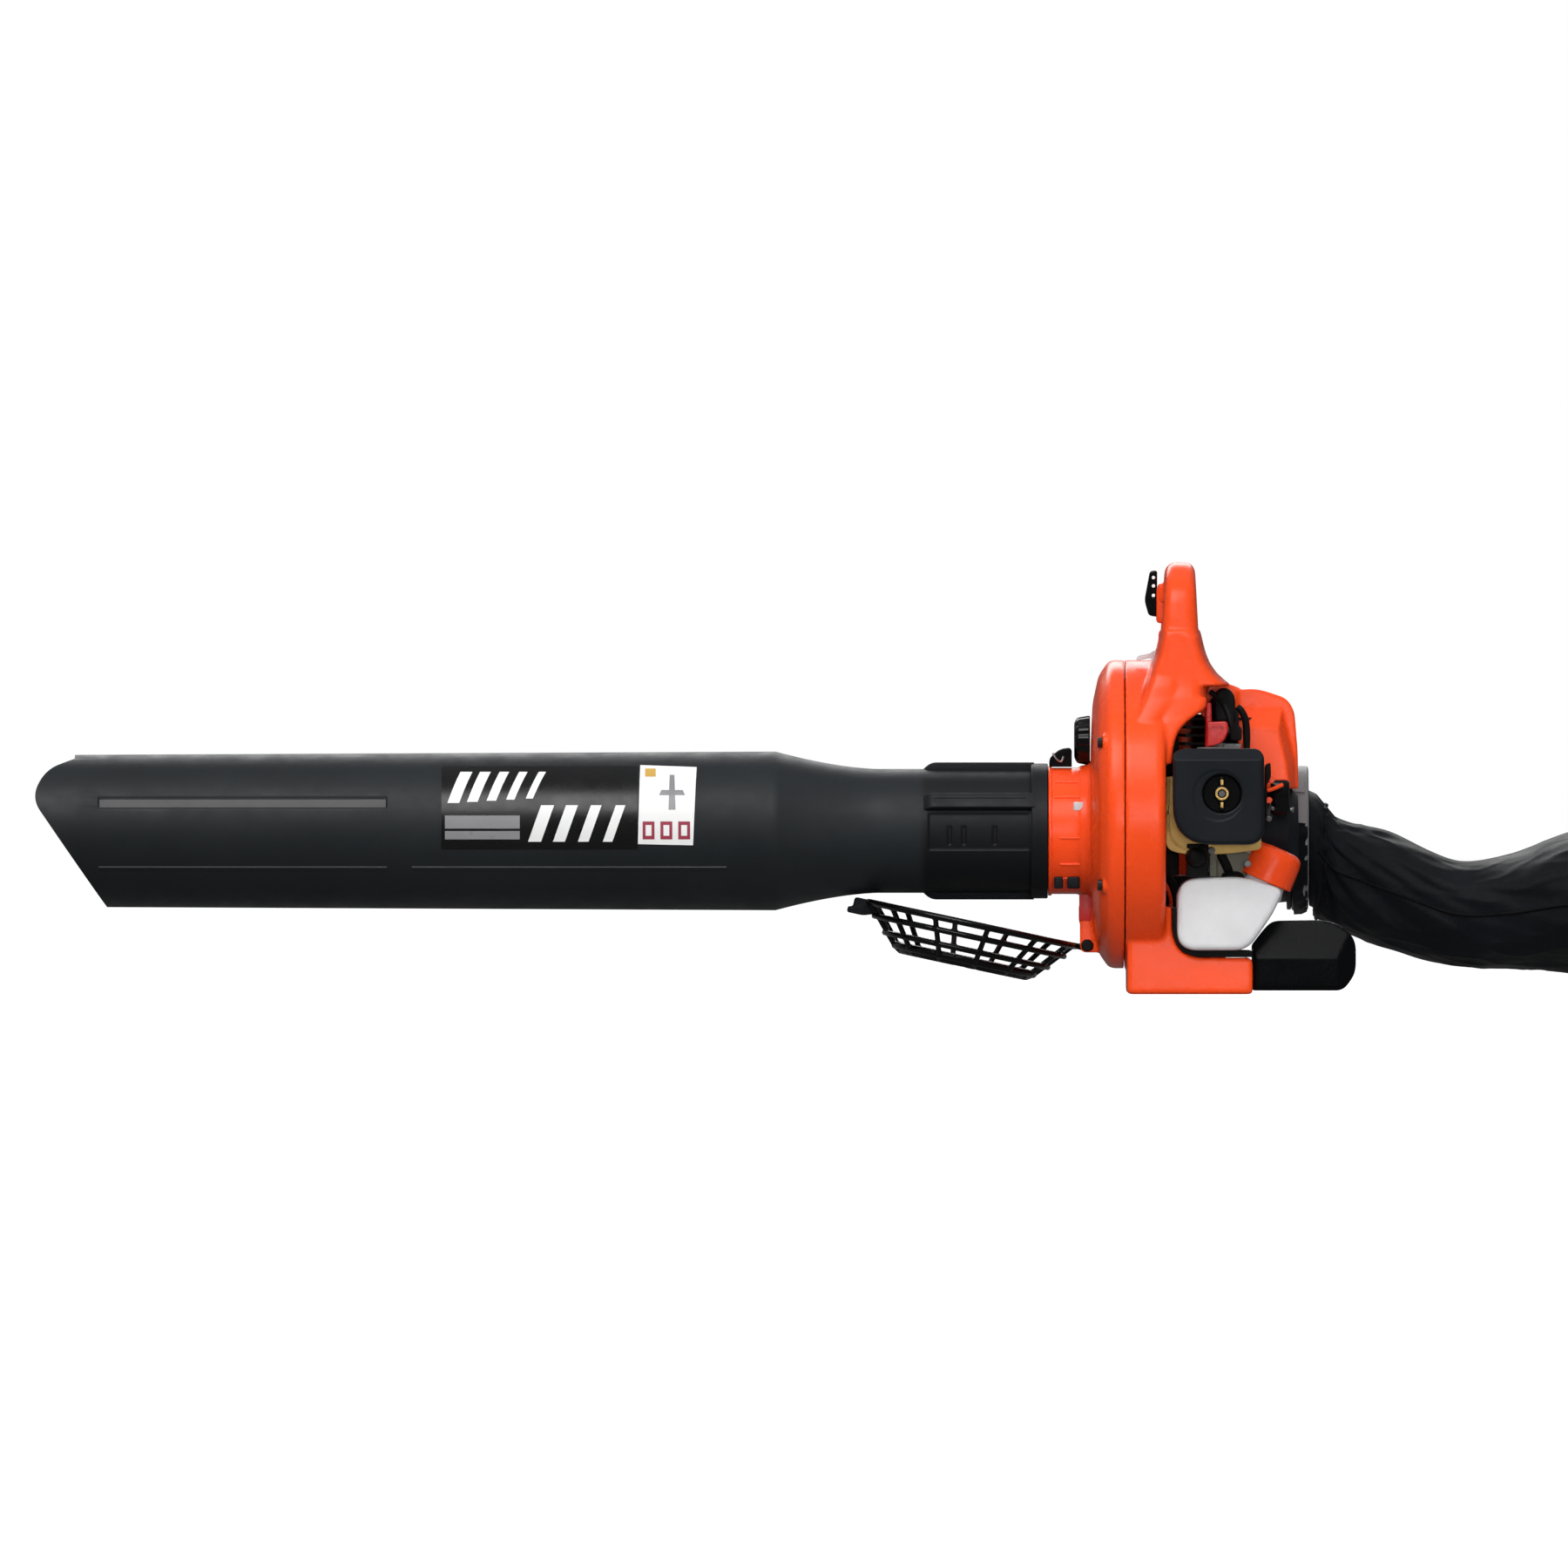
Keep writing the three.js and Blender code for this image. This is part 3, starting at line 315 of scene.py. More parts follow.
def prism(axis, points, low, high, bevel=0.0, segments=4, steps=5):
    """An outline pushed along an axis: [y, z] along X, [x, z] along Y, [x, y] along Z."""
    flat = fillet(points, steps)
    if axis == "y":
        flat = [(z, x) for x, z in flat]
    count = len(flat)
    corners = [placed(axis, u, v, low) for u, v in flat] + [placed(axis, u, v, high) for u, v in flat]
    faces = [list(range(count))[::-1], list(range(count, 2 * count))]
    faces += [[i, (i + 1) % count, (i + 1) % count + count, i + count] for i in range(count)]
    depth = AXES[axis][2]
    level = lambda e: abs(e.verts[0].co[depth] - e.verts[1].co[depth]) < 1e-6
    return shell(corners, faces, bevel, segments, level)


def block(x0, x1, y0, y1, z0, z1, bevel=0.0, segments=3):
    made = prism("z", [(x0, y0), (x1, y0), (x1, y1), (x0, y1)], z0, z1)
    if bevel:
        bmesh.ops.bevel(made, geom=made.edges[:], offset=bevel, segments=segments, profile=0.5,
                        affect="EDGES", clamp_overlap=True)
    return made


def lathe(axis, profile, at=(0, 0, 0), count=96, steps=4, wave=None):
    """A solid of revolution. The profile lists (along, radius[, corner radius]) and closes on the axis."""
    line = fillet(profile, steps, closed=False)
    points = [placed(axis, 0, 0, line[0][0]), placed(axis, 0, 0, line[-1][0])]
    for along, radius in line:
        for i in range(count):
            angle = 2 * math.pi * i / count
            here = radius * (wave(angle, along, radius) if wave else 1)
            points.append(placed(axis, here * math.cos(angle), here * math.sin(angle), along))
    ring = lambda r, i: 2 + r * count + i % count
    faces = [[0, ring(0, i + 1), ring(0, i)] for i in range(count)]
    last = len(line) - 1
    faces += [[1, ring(last, i), ring(last, i + 1)] for i in range(count)]
    for r in range(last):
        faces += [[ring(r, i), ring(r, i + 1), ring(r + 1, i + 1), ring(r + 1, i)] for i in range(count)]
    made = shell(points, faces)
    bmesh.ops.translate(made, verts=made.verts, vec=at)
    return made


def rod(axis, radius, low, high, at=(0, 0, 0), count=48, edge=0.0):
    profile = [(low, radius), (high, radius)]
    if edge:
        profile = [(low, radius - edge), (low + edge, radius), (high - edge, radius), (high, radius - edge)]
    return lathe(axis, profile, at, count)


def loft(rings):
    count = len(rings[0])
    points = [p for ring in rings for p in ring]
    faces = [list(range(count))[::-1], [len(points) - count + i for i in range(count)]]
    for r in range(len(rings) - 1):
        base = r * count
        faces += [[base + i, base + (i + 1) % count, base + count + (i + 1) % count, base + count + i]
                  for i in range(count)]
    return shell(points, faces)


def spline(a, b, c, d, t):
    """Catmull-Rom: the value at a share of the way from b to c."""
    return 0.5 * (2 * b + (c - a) * t + (2 * a - 5 * b + 4 * c - d) * t * t
                  + (3 * b - a - 3 * c + d) * t ** 3)


def curve_points(points, steps):
    """Catmull-Rom points through a list of points."""
    spots = [Vector(p) for p in points]
    spots = [2 * spots[0] - spots[1], *spots, 2 * spots[-1] - spots[-2]]
    out = []
    for i in range(1, len(spots) - 2):
        out += [spline(*spots[i - 1:i + 3], k / steps) for k in range(steps)]
    return out + [spots[-2]]


def sweep(points, radius, count=16, steps=6, closed=False, flat=1.0, up=Vector((0, 0, 1))):
    """A round or flattened bar along a smooth line."""
    line = [Vector(p) for p in points] if closed else curve_points(points, steps)
    rings = []
    for i, spot in enumerate(line):
        before = line[i - 1] if closed or i else line[0]
        after = line[(i + 1) % len(line)] if closed or i + 1 < len(line) else line[-1]
        along = (after - before).normalized()
        side = along.cross(up)
        side = side.normalized() if side.length > 1e-3 else along.cross(Vector((1, 0, 0))).normalized()
        lift = side.cross(along)
        rings.append([spot + side * radius * math.cos(a) + lift * radius * flat * math.sin(a)
                      for a in (2 * math.pi * k / count for k in range(count))])
    if not closed:
        return loft(rings)
    points = [p for ring in rings for p in ring]
    total = len(rings)
    faces = [[r * count + i, r * count + (i + 1) % count, (r + 1) % total * count + (i + 1) % count,
              (r + 1) % total * count + i] for r in range(total) for i in range(count)]
    return shell(points, faces)


def turned(made, matrix):
    bmesh.ops.transform(made, matrix=matrix, verts=made.verts)
    return made


def ring_shape(axis, outer, inner, low, high, at=(0, 0, 0), count=96, edge=0.8):
    """A ring with softened edges, as one closed band."""
    band = fillet([(low, inner, edge), (low, outer, edge), (high, outer, edge), (high, inner, edge)], 3)
    points, faces, size = [], [], len(band)
    for i in range(count):
        angle = 2 * math.pi * i / count
        points += [placed(axis, r * math.cos(angle), r * math.sin(angle), along) for along, r in band]
    for i in range(count):
        here, there = i * size, (i + 1) % count * size
        faces += [[here + k, here + (k + 1) % size, there + (k + 1) % size, there + k] for k in range(size)]
    made = shell(points, faces)
    bmesh.ops.translate(made, verts=made.verts, vec=at)
    return made


# ---------------------------------------------------------------- pieces

def loose(made, name="work"):
    """A bmesh as an object of its own, in millimetres."""
    mesh = bpy.data.meshes.new(name)
    made.to_mesh(mesh)
    made.free()
    obj = bpy.data.objects.new(name, mesh)
    bpy.context.scene.collection.objects.link(obj)
    return obj


def reopened(mesh):
    """A finished mesh as a shape again, to join or cut with."""
    made = bmesh.new()
    made.from_mesh(mesh)
    return made


def settle(obj):
    """The object's mesh with its modifiers applied. The object itself is removed."""
    bpy.context.view_layer.update()
    done = bpy.data.meshes.new_from_object(obj.evaluated_get(bpy.context.evaluated_depsgraph_get()))
    bpy.data.objects.remove(obj)
    return done


def combined(solids, cuts=(), voxel=0.0, soften=0, factor=0.5):
    """Solids joined, cuts taken away, then remeshed into one smooth skin, in millimetres."""
    base, *more = [loose(s) for s in solids]
    tools = [(o, "UNION") for o in more] + [(loose(c), "DIFFERENCE") for c in cuts]
    for tool, how in tools:
        step = base.modifiers.new("join", "BOOLEAN")
        step.object, step.operation, step.solver = tool, how, "MANIFOLD"
    if voxel:
        step = base.modifiers.new("skin", "REMESH")
        step.mode, step.voxel_size, step.adaptivity = "VOXEL", voxel, 0.0
    if soften:
        step = base.modifiers.new("soften", "SMOOTH")
        step.factor, step.iterations = factor, soften
    mesh = settle(base)
    for tool, _ in tools:
        bpy.data.objects.remove(tool)
    return mesh


def piece(name, mesh, look, body, replaces=(), angle=35):
    """A finished piece: metres, shaded, coloured, riding on its body."""
    if isinstance(mesh, bmesh.types.BMesh):
        work = bpy.data.meshes.new(name)
        mesh.to_mesh(work)
        mesh.free()
        mesh = work
    mesh.transform(Matrix.Scale(MM, 4))
    mesh.materials.clear()
    mesh.materials.append(look)
    mesh.polygons.foreach_set("use_smooth", [True] * len(mesh.polygons))
    mesh.set_sharp_from_angle(angle=math.radians(angle))
    obj = bpy.data.objects.new(name, mesh)
    bpy.context.scene.collection.objects.link(obj)
    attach(obj, body)
    if replaces:
        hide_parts(*replaces)
    return obj


def keep(node, look, bevel=0.35):
    """A CAD piece whose shape is right: a better finish and softened edges."""
    obj = frame["nodes"][node]
    obj.data.materials.clear()
    obj.data.materials.append(look)
    obj.data.polygons.foreach_set("use_smooth", [True] * len(obj.data.polygons))
    obj.data.set_sharp_from_angle(angle=math.radians(32))
    if bevel:
        step = obj.modifiers.new("edges", "BEVEL")
        step.width, step.segments, step.limit_method = bevel * MM, 2, "ANGLE"
        step.angle_limit, step.harden_normals = math.radians(40), False
    return obj


# ---------------------------------------------------------------- main dimensions, from the frame

TUBE_LOW, TUBE_HIGH = box_mm("suction_tube")
AXIS_Z = (TUBE_LOW.z + TUBE_HIGH.z) / 2
CASE_HIGH = box_mm("fan_case_front")[1]
REAR_LOW, REAR_HIGH = box_mm("fan_case_rear")
SEAM = (CASE_HIGH.x + REAR_LOW.x) / 2
SCROLL_Z = AXIS_Z + 14.1
FRONT = CASE_HIGH.x - 27.85
BACK = REAR_LOW.x + 39.85
JOINT = {j["name"]: Vector(j.get("pos_m", (0, 0, 0))) / MM for j in frame["record"]["behaviour"]["joints"]}
HUB = (0, 0, AXIS_Z)


# ---------------------------------------------------------------- suction tube

MOUTH_X, TAPER_X, NECK_X, RING_X = TUBE_LOW.x, TUBE_LOW.x + 624.4, TUBE_LOW.x + 711.4, TUBE_LOW.x + 839.4
WIDE_R, NECK_R = 67.0, 52.3
LINES = ((MOUTH_X + 54, MOUTH_X + 297), (MOUTH_X + 318, MOUTH_X + 583))  # the two long beads


def tube_radius(x):
    if x < TAPER_X:
        return 64 + (x - MOUTH_X + 10) * 3 / (TAPER_X - MOUTH_X + 10)
    share = min(1, (x - TAPER_X) / (NECK_X - TAPER_X))
    return WIDE_R + (NECK_R - WIDE_R) * (1 - (1 - share) ** 1.6)


def soft_box(value, low, high, edge=0.8):
    """1 between low and high, falling to 0 over an edge."""
    rise = min(1, max(0, (value - low) / edge + 0.5))
    fall = min(1, max(0, (high - value) / edge + 0.5))
    return rise * fall


def tube_relief(x, height):
    """How far the operator's side stands in or out, by place along the tube and height above its axis."""
    depth = -1.1 * soft_box(x, MOUTH_X + 54, MOUTH_X + 297) * soft_box(height, 19.5, 28.5, 1.6)
    for low, high in LINES:
        depth += 0.9 * soft_box(x, low, high) * soft_box(height, -32.4, -30.4, 1.4)
    panel = soft_box(x, NECK_X + 42, RING_X - 1) * soft_box(height, -16, 15, 1.4)
    slots = max(soft_box(x, at, at + 3.5) for at in (NECK_X + 58, NECK_X + 70, NECK_X + 96))
    return depth - panel * (1.2 + 1.1 * slots * soft_box(height, -12, 4, 1.4))


LIP_X = -940  # where the slanted mouth meets the top of the tube


def suction_tube():
    wall, seg = 2.6, 288
    marks = [MOUTH_X - 10, MOUTH_X + 30]
    for low, high in LINES:
        marks += [low - 0.6, low - 0.2, low + 0.2, low + 0.6, high - 0.6, high - 0.2, high + 0.2, high + 0.6]
    marks += list(np.arange(MOUTH_X + 60, TAPER_X, 40)) + list(np.linspace(TAPER_X, NECK_X, 26))
    marks += list(np.arange(NECK_X + 6, RING_X, 1.0))
    stations = sorted(marks)
    outer = [(x, tube_radius(x)) for x in stations]
    spigot = TUBE_HIGH.x - 27.3
    outer += [(RING_X + 0.5, 52), (RING_X + 0.6, 56.4), (RING_X + 1.4, 57), (spigot - 0.8, 57),
              (spigot, 56.4), (spigot + 0.1, 47.5), (TUBE_HIGH.x - 1, 47.5), (TUBE_HIGH.x, 46.8)]

    def wave(angle, along, radius):
        if along > RING_X or math.cos(angle) > -0.2:
            return 1
        return 1 + tube_relief(along, radius * math.sin(angle)) / radius

    skin = lathe("x", outer, HUB, seg, wave=wave)
    inner = [(MOUTH_X - 12, 61.4)] + [(x, tube_radius(x) - wall) for x in stations[2:] if x < RING_X - 8]
    inner += [(RING_X, 47.5 - wall), (TUBE_HIGH.x + 1, 47.5 - wall)]
    rib = [(NECK_X + 33, 48), (NECK_X + 44, 57.9, 5), (RING_X + 3, 57.9), (RING_X + 3, 48)]
    groove = [(NECK_X + 46, 57.2), (NECK_X + 46, 60), (RING_X - 4, 60), (RING_X - 4, 57.2)]
    around = lambda degrees: Matrix.Translation(HUB) @ Matrix.Rotation(math.radians(degrees), 4, "X")
    ribs = [turned(prism("y", rib, -7, 7, 1.6, 3), around(degrees)) for degrees in (0, 63, 180, -63)]
    grooves = [turned(prism("y", groove, -2, 2), around(degrees)) for degrees in (-63, 63)]
    tip = MOUTH_X - 2.6
    mouth = prism("y", [(tip - 40, 240), (LIP_X, 240), (LIP_X, AXIS_Z + 61), (tip + 12, AXIS_Z + 52, 14),
                        (tip, AXIS_Z + 28, 16), (tip + 65, AXIS_Z - 67), (tip + 75, 40), (tip - 40, 40)],
                        -90, 90,
                  steps=12)
    mesh = combined([skin, *ribs], [lathe("x", inner, HUB, seg), mouth, *grooves])
    piece("suction_tube_skin", mesh, TUBE, "powerhead", ["suction_tube"], 28)


def sheet_faces(nu, nv):
    """Faces that close a sheet of two layers, each a grid of nu by nv cells."""
    row, size, faces = nv + 1, (nu + 1) * (nv + 1), []
    for i in range(nu):
        for j in range(nv):
            base = i * row + j
            faces.append([base, base + 1, base + row + 1, base + row])
            faces.append([size + base, size + base + row, size + base + row + 1, size + base + 1])
    rim = [i * row for i in range(nu + 1)] + [nu * row + j for j in range(1, nv + 1)]
    rim += [i * row + nv for i in range(nu - 1, -1, -1)] + list(range(nv - 1, 0, -1))
    for here, there in zip(rim, rim[1:] + rim[:1]):
        faces.append([here, there, size + there, size + here])
    return faces


def decal(name, corners, look, lift=0.15, thick=0.35, cells=(14, 14)):
    """A thin sheet on the tube's near side. Corners are (place along the tube, height above its axis)."""
    (nu, nv), points = cells, []
    for layer in (lift, lift + thick):
        for i in range(nu + 1):
            for j in range(nv + 1):
                u, v = i / nu, j / nv
                a, b, c, d = (Vector(p) for p in corners)
                x, height = a.lerp(b, u).lerp(d.lerp(c, u), v)
                radius = tube_radius(x)
                angle = math.pi - height / radius
                reach = radius + layer
                points.append((x, reach * math.cos(angle), AXIS_Z + reach * math.sin(angle)))
    return piece(name, shell(points, sheet_faces(nu, nv)), look, "powerhead", [], 40)


def tube_lines():
    """The slot, with a black sheet in it as painted shade, and pale strips on the two long beads as painted
    highlights, on the near side.
    """
    a, b = LINES[0]
    # A black sheet in the slot's recess: painted shade.
    decal("tube_slot_painted_shade", [(a + 1, 27.6), (b - 1, 27.6), (b - 1, 20.4), (a + 1, 20.4)], GLOSS, -1.05, 0.2,
          (40, 4))
    for i, (low, high) in enumerate(((a, b), (MOUTH_X + 318, MOUTH_X + 583))):
        # Pale grey strips along the raised beads: painted highlights on their ridges.
        decal(f"tube_bead_highlight_{i + 1}", [(low, -30.7), (high, -30.7), (high, -31.3), (low, -31.3)], GREY, 0.85,
              0.15, (40, 2))


def labels():
    """A dark label with slanted bars and a pale sticker with plain blocks, neither with any lettering."""
    x0, x1, x2 = MOUTH_X + 343, MOUTH_X + 508.5, MOUTH_X + 558
    decal("tube_label", [(x0, 64), (x1, 64), (x1, -15.5), (x0, -15.5)], INK, 0.05, 0.3, (20, 20))
    decal("tube_label_band", [(x0 + 3, 13), (x0 + 66, 13), (x0 + 66, 2), (x0 + 3, 2)], INK_GREY, 0.3)
    decal("tube_label_band_low", [(x0 + 3, 0), (x0 + 66, 0), (x0 + 66, -7), (x0 + 3, -7)], INK_GREY, 0.3)
    for i in range(5):
        left = x0 + 9 + 16.5 * i
        corners = [(left + 7, 56), (left + 17 - i, 56), (left + 6 - i, 24 + i), (left - 4, 24 + i)]
        decal(f"tube_label_bar_{i + 1}", corners, WHITE, 0.35, 0.15, (4, 10))
    for i in range(4):
        left = x0 + 76 + 21 * i
        corners = [(left + 8, 22), (left + 19 - i, 22), (left + 8 - i, -9), (left - 3, -9)]
        decal(f"tube_label_stripe_{i + 1}", corners, WHITE, 0.35, 0.15, (4, 10))
    decal("tube_sticker", [(x1 + 2, 65), (x2, 62), (x2 - 3, -12), (x1, -11)], WHITE, 0.35, 0.2, (8, 20))
    decal("tube_sticker_mark", [(x1 + 6, 60), (x1 + 15, 60), (x1 + 15, 50), (x1 + 6, 50)], INK_GOLD, 0.55,
          0.12)
    middle = (x1 + x2) / 2 + 4
    decal("tube_sticker_post", [(middle - 2, 52), (middle + 2, 52), (middle + 3, 18), (middle - 3, 18)],
          INK_GREY, 0.55, 0.12)
    decal("tube_sticker_arch", [(middle - 9, 36), (middle + 9, 36), (middle + 11, 31), (middle - 11, 31)],
          INK_GREY, 0.55, 0.12)
    for i in range(3):
        left = x1 + 4 + 15 * i
        decal(f"tube_sticker_block_{i + 1}", [(left, 8), (left + 10, 8), (left + 10, -7), (left, -7)],
              INK_RED, 0.55, 0.12)
        decal(f"tube_sticker_window_{i + 1}",
              [(left + 2.5, 5), (left + 7.5, 5), (left + 7.5, -4), (left + 2.5, -4)], WHITE, 0.7, 0.1)


# ---------------------------------------------------------------- fan case

DUCT = Vector((FRONT + 34, 0, AXIS_Z - 62.5))


def scroll(inset, count=160):
    """The scroll, inset from its outer face. Its back face is a little thinner than the rest."""
    f, b = FRONT, BACK - 5.5
    profile = [(f + inset, 60), (f + 1.5 + inset, 94 - inset, 6), (f + 6.5 + inset, 117 - inset, 5),
               (f + 15.5 + inset, 130 - inset, 5), (b - 4 - inset, 130 - inset, 4),
               (b - 0.72 * inset, 125 - inset, 2)]
    return lathe("x", profile, (0, 0, SCROLL_Z), count, 6)


def case_cuts():
    return [
        scroll(3.5),
        rod("x", 49.5, FRONT - 41, FRONT + 10, HUB, 128),
        rod("y", 32.8, 60, 155, (DUCT.x, 0, DUCT.z), 96),
    ]


BOSSES = [(-104, 212), (104, 212), (-104, 92), (84, 237)]


def fan_case_front():
    f = FRONT
    collar = [(f - 35.7, 52.3), (f - 35, 53.3), (f - 10, 53.3), (f - 9, 55), (f - 3, 56, 3), (f + 4, 62)]
    solids = [scroll(0), lathe("x", collar, HUB, 160), rod("y", 36, 60, 140, (DUCT.x, 0, DUCT.z), 96)]
    solids += [rod("x", 7, f + 9, f + 45, (0, y, z), 32, 1) for y, z in BOSSES]
    hinge = JOINT["grille_swing"]
    for y0, y1 in ((12, 18), (-18, -12)):
        ear = [(hinge.x - 6, hinge.z - 6, 5), (-74, hinge.z - 6), (-74, 76), (hinge.x - 6, 76, 5)]
        solids.append(prism("y", ear, y0, y1, 0.8))
    solids.append(block(hinge.x - 7, -74, -18, 18, 60, 76, 1.5))
    cuts = case_cuts() + [rod("y", 2.8, -20, 20, hinge, 24)]
    cuts += [lathe("x", [(f - 7, 5), (f + 9, 5), (f + 9, 2.8), (f + 41, 2.8)], (0, y, z), 32)
             for y, z in BOSSES]
    cuts.append(block(SEAM - 0.15, 300, -300, 300, -50, 500))
    mesh = combined(solids, cuts, voxel=1.35, soften=3)
    piece("fan_case_front_shell", mesh, ORANGE, "powerhead", ["fan_case_front"], 60)
    for i, height in enumerate((41, 28.5, -6, -28, -40)):  # ribs along the collar
        reach = -math.sqrt(53.3 ** 2 - height ** 2) - 0.1
        bar_x = (f - 31, f - 10) if i < 2 else (f - 26, f - 8)
        rib = sweep([(bar_x[0], reach, AXIS_Z + height), (bar_x[1], reach, AXIS_Z + height)], 1.1, 10)
        piece(f"collar_rib_{i + 1}", rib, ORANGE, "powerhead")
    band = ring_shape("x", 54.6, 52.5, f - 36, f - 33, HUB, 128, 0.6)
    piece("collar_edge", band, ORANGE, "powerhead")
    clip = block(f - 15, f - 6.5, -51.5, -47.5, AXIS_Z + 17, AXIS_Z + 24.5, 1.4)
    piece("collar_clip", clip, INK_SILVER, "powerhead")
    for i, (x0, x1) in enumerate(((f - 31, f - 23.5), (f - 20, f - 9.5))):
        window = block(x0, x1, -39, -34.5, 89, 99, 1.2)
        piece(f"collar_window_{i + 1}", window, SATIN, "powerhead")


def superellipse(x0, x1, y0, y1, z, power=4.0, count=72):
    cx, cy, rx, ry = (x0 + x1) / 2, (y0 + y1) / 2, (x1 - x0) / 2, (y1 - y0) / 2
    ring = []
    for k in range(count):
        c, s = math.cos(2 * math.pi * k / count), math.sin(2 * math.pi * k / count)
        ring.append((cx + rx * math.copysign(abs(c) ** (2 / power), c),
                     cy + ry * math.copysign(abs(s) ** (2 / power), s), z))
    return ring


def fan_case_rear():
    left, right, top = REAR_LOW.x + 32.85, REAR_LOW.x + 60.85, REAR_HIGH.z
    outside = [(-92, 245), (-88, 300, 30), (-78, 346, 22), (-50, top, 26), (52, top, 30), (88, 346, 30),
               (104, 300, 30), (107, 245)]
    finger = [(-54, 292, 10), (-56, 318, 12), (-44, 336, 14), (54, 336, 16), (72, 322, 14), (76, 292, 10)]
    loop = prism("x", outside, left, right, 9, 6, 8)
    for corner in loop.verts:  # slimmer at the top, wider where it meets the case
        share = min(1, max(0, (corner.co.z - 285) / (top - 285)))
        middle = -6.8
        corner.co.x = middle + (corner.co.x - middle) * (1.22 - 0.34 * share ** 0.7)
    hole = prism("x", finger, left - 20, right + 40, 0, 1, 8)
    # The pedestal under the handle: its left part runs down the case, its right part ends over the engine.
    left_rings = ((196, -57, -112, 126), (214, -55, -109, 123), (232, -51, -104, 119), (250, -44, -98, 114),
                  (259, -40, -96, 112), (268, -36, -93, 110), (284, -29.5, -91, 108), (306, -24, -88, 104))
    right_rings = ((237, 13.6, -101, 117), (250, 14.5, -98, 114), (259, 15.8, -95, 112), (268, 16, -93, 110),
                   (284, 14.6, -91, 108), (306, 9.6, -88, 104))
    flare_rings = ((259.6, 35), (261.5, 34), (265, 29.5), (271, 23), (279, 17.4), (290, 12.8), (302, 10))
    saddle = loft([superellipse(x0, -20.5 if z < 233 else -4, y0, y1, z, 5) for z, x0, y0, y1 in left_rings])
    roofed = loft([superellipse(-26, x1, y0, y1, z, 5) for z, x1, y0, y1 in right_rings])
    flare = loft([superellipse(-12, x1, -93.5 + 0.1 * (z - 260), 110, z, 4.5) for z, x1 in flare_rings])
    arch_rings = ((194, -15, -109), (206, -14.3, -108.5), (216, -12, -106.5), (223, -8.5, -104.5),
                  (229, -3, -103), (234, 3.5, -101.5), (238, 9.5, -100.5), (242, 13.6, -99.5), (250, 14.5, -98))
    arch = loft([superellipse(-26, x1, y, -70, z, 6) for z, x1, y in arch_rings])
    roof = block(-19, 13, -85, 10, 250, 262, 2)
    seat = block(left - 5, left + 2, -48, -22, 319, 346, 2)
    stand = prism("y", [(-53, 0, 4), (53, 0, 4), (53, 31, 6), (6, 31.5, 4), (-8, 36, 9), (-14.7, 50, 8),
                        (-15, 74), (-53, 66)], -75, 75, 4, 4, 6)
    around = combined([rod("x", 38, BACK - 1, 1.7, HUB, 96)], [rod("x", 35.2, BACK - 5, 5, HUB, 96),
                      block(BACK, 5, -42, -28, 124, 151)])
    solids = [scroll(0), rod("y", 36, 60, 140, (DUCT.x, 0, DUCT.z), 96), loop, saddle, roofed, flare, arch,
              roof, seat, stand, reopened(around)]
    solids += [rod("x", 7, FRONT + 9, FRONT + 45, (0, y, z), 32, 1) for y, z in BOSSES]
    cuts = case_cuts() + [rod("x", 16, -25, 0, HUB, 64), hole]
    cuts += [rod("x", 2.8, FRONT + 5, FRONT + 41, (0, y, z), 24) for y, z in BOSSES]
    cuts += [block(left + 5, right - 5, 21, 68, 324, 354, 1),
             rod("x", 2.3, left + 2, right - 2, (0, 59, 337), 24)]
    cuts += [block(-46, 46, 12, 68, -5, 13, 2), block(-46, 46, -68, -12, -5, 13, 2)]
    cuts.append(block(-300, SEAM + 0.15, -300, 300, -50, 500))
    mesh = combined(solids, cuts, voxel=1.45, soften=5)
    piece("fan_case_rear_shell", mesh, ORANGE, "powerhead", ["fan_case_rear"], 60)
    for i in range(len(BOSSES)):
        keep(f"case_screw_{i + 1}", DARK_STEEL, 0.5)
    shield = block(BACK - 6, BACK + 6, -52, -46, 100, 215, 1)
    piece("inner_shield", shield, RUBBER, "powerhead")
    mount = prism("y", [(left - 6, 313, 3), (left - 6, 343, 3), (left + 4, 344), (left + 4, 312)], -47, -23,
                  1.5, 3)
    piece("control_mount", mount, ORANGE, "powerhead")


def lower_handle():
    low, high = box_mm("lower_handle")
    x0, x1, top = low.x, high.x, high.z
    side = [(x0, 3), (x0, 41), (x0 + 9, 53, 8), (x0 + 17, top - 1, 8), (x1 - 21, top, 16), (x1, 49, 18),
            (x1, 17, 16), (x1 - 11, low.z, 6)]
    grip = prism("y", side, -70, 70, 4.5, 5, 8)
    hand = block(60.5, 113, -55, 55, -20, 90, 6)
    rest = block(52, 61, -56, 56, 38, 90)
    shoulders = [prism("x", [(way * 71, 30), (way * 69.7, 30), (way * 58, top + 0.5), (way * 57, 90),
                             (way * 90, 90)],
                       x0 - 5, x1 + 5) for way in (-1, 1)]
    ends = [prism("z", [(x1 - 15, way * 71), (x1 - 15, way * 69.8), (x1 + 1, way * 58), (x1 + 20, way * 90)],
                  -5, 95) for way in (-1, 1)]
    mesh = combined([grip], [hand, rest, *shoulders, *ends], voxel=1.1, soften=4)
    piece("lower_handle_grip", mesh, GRIP, "powerhead", ["lower_handle"], 60)


# ---------------------------------------------------------------- engine covers and tank

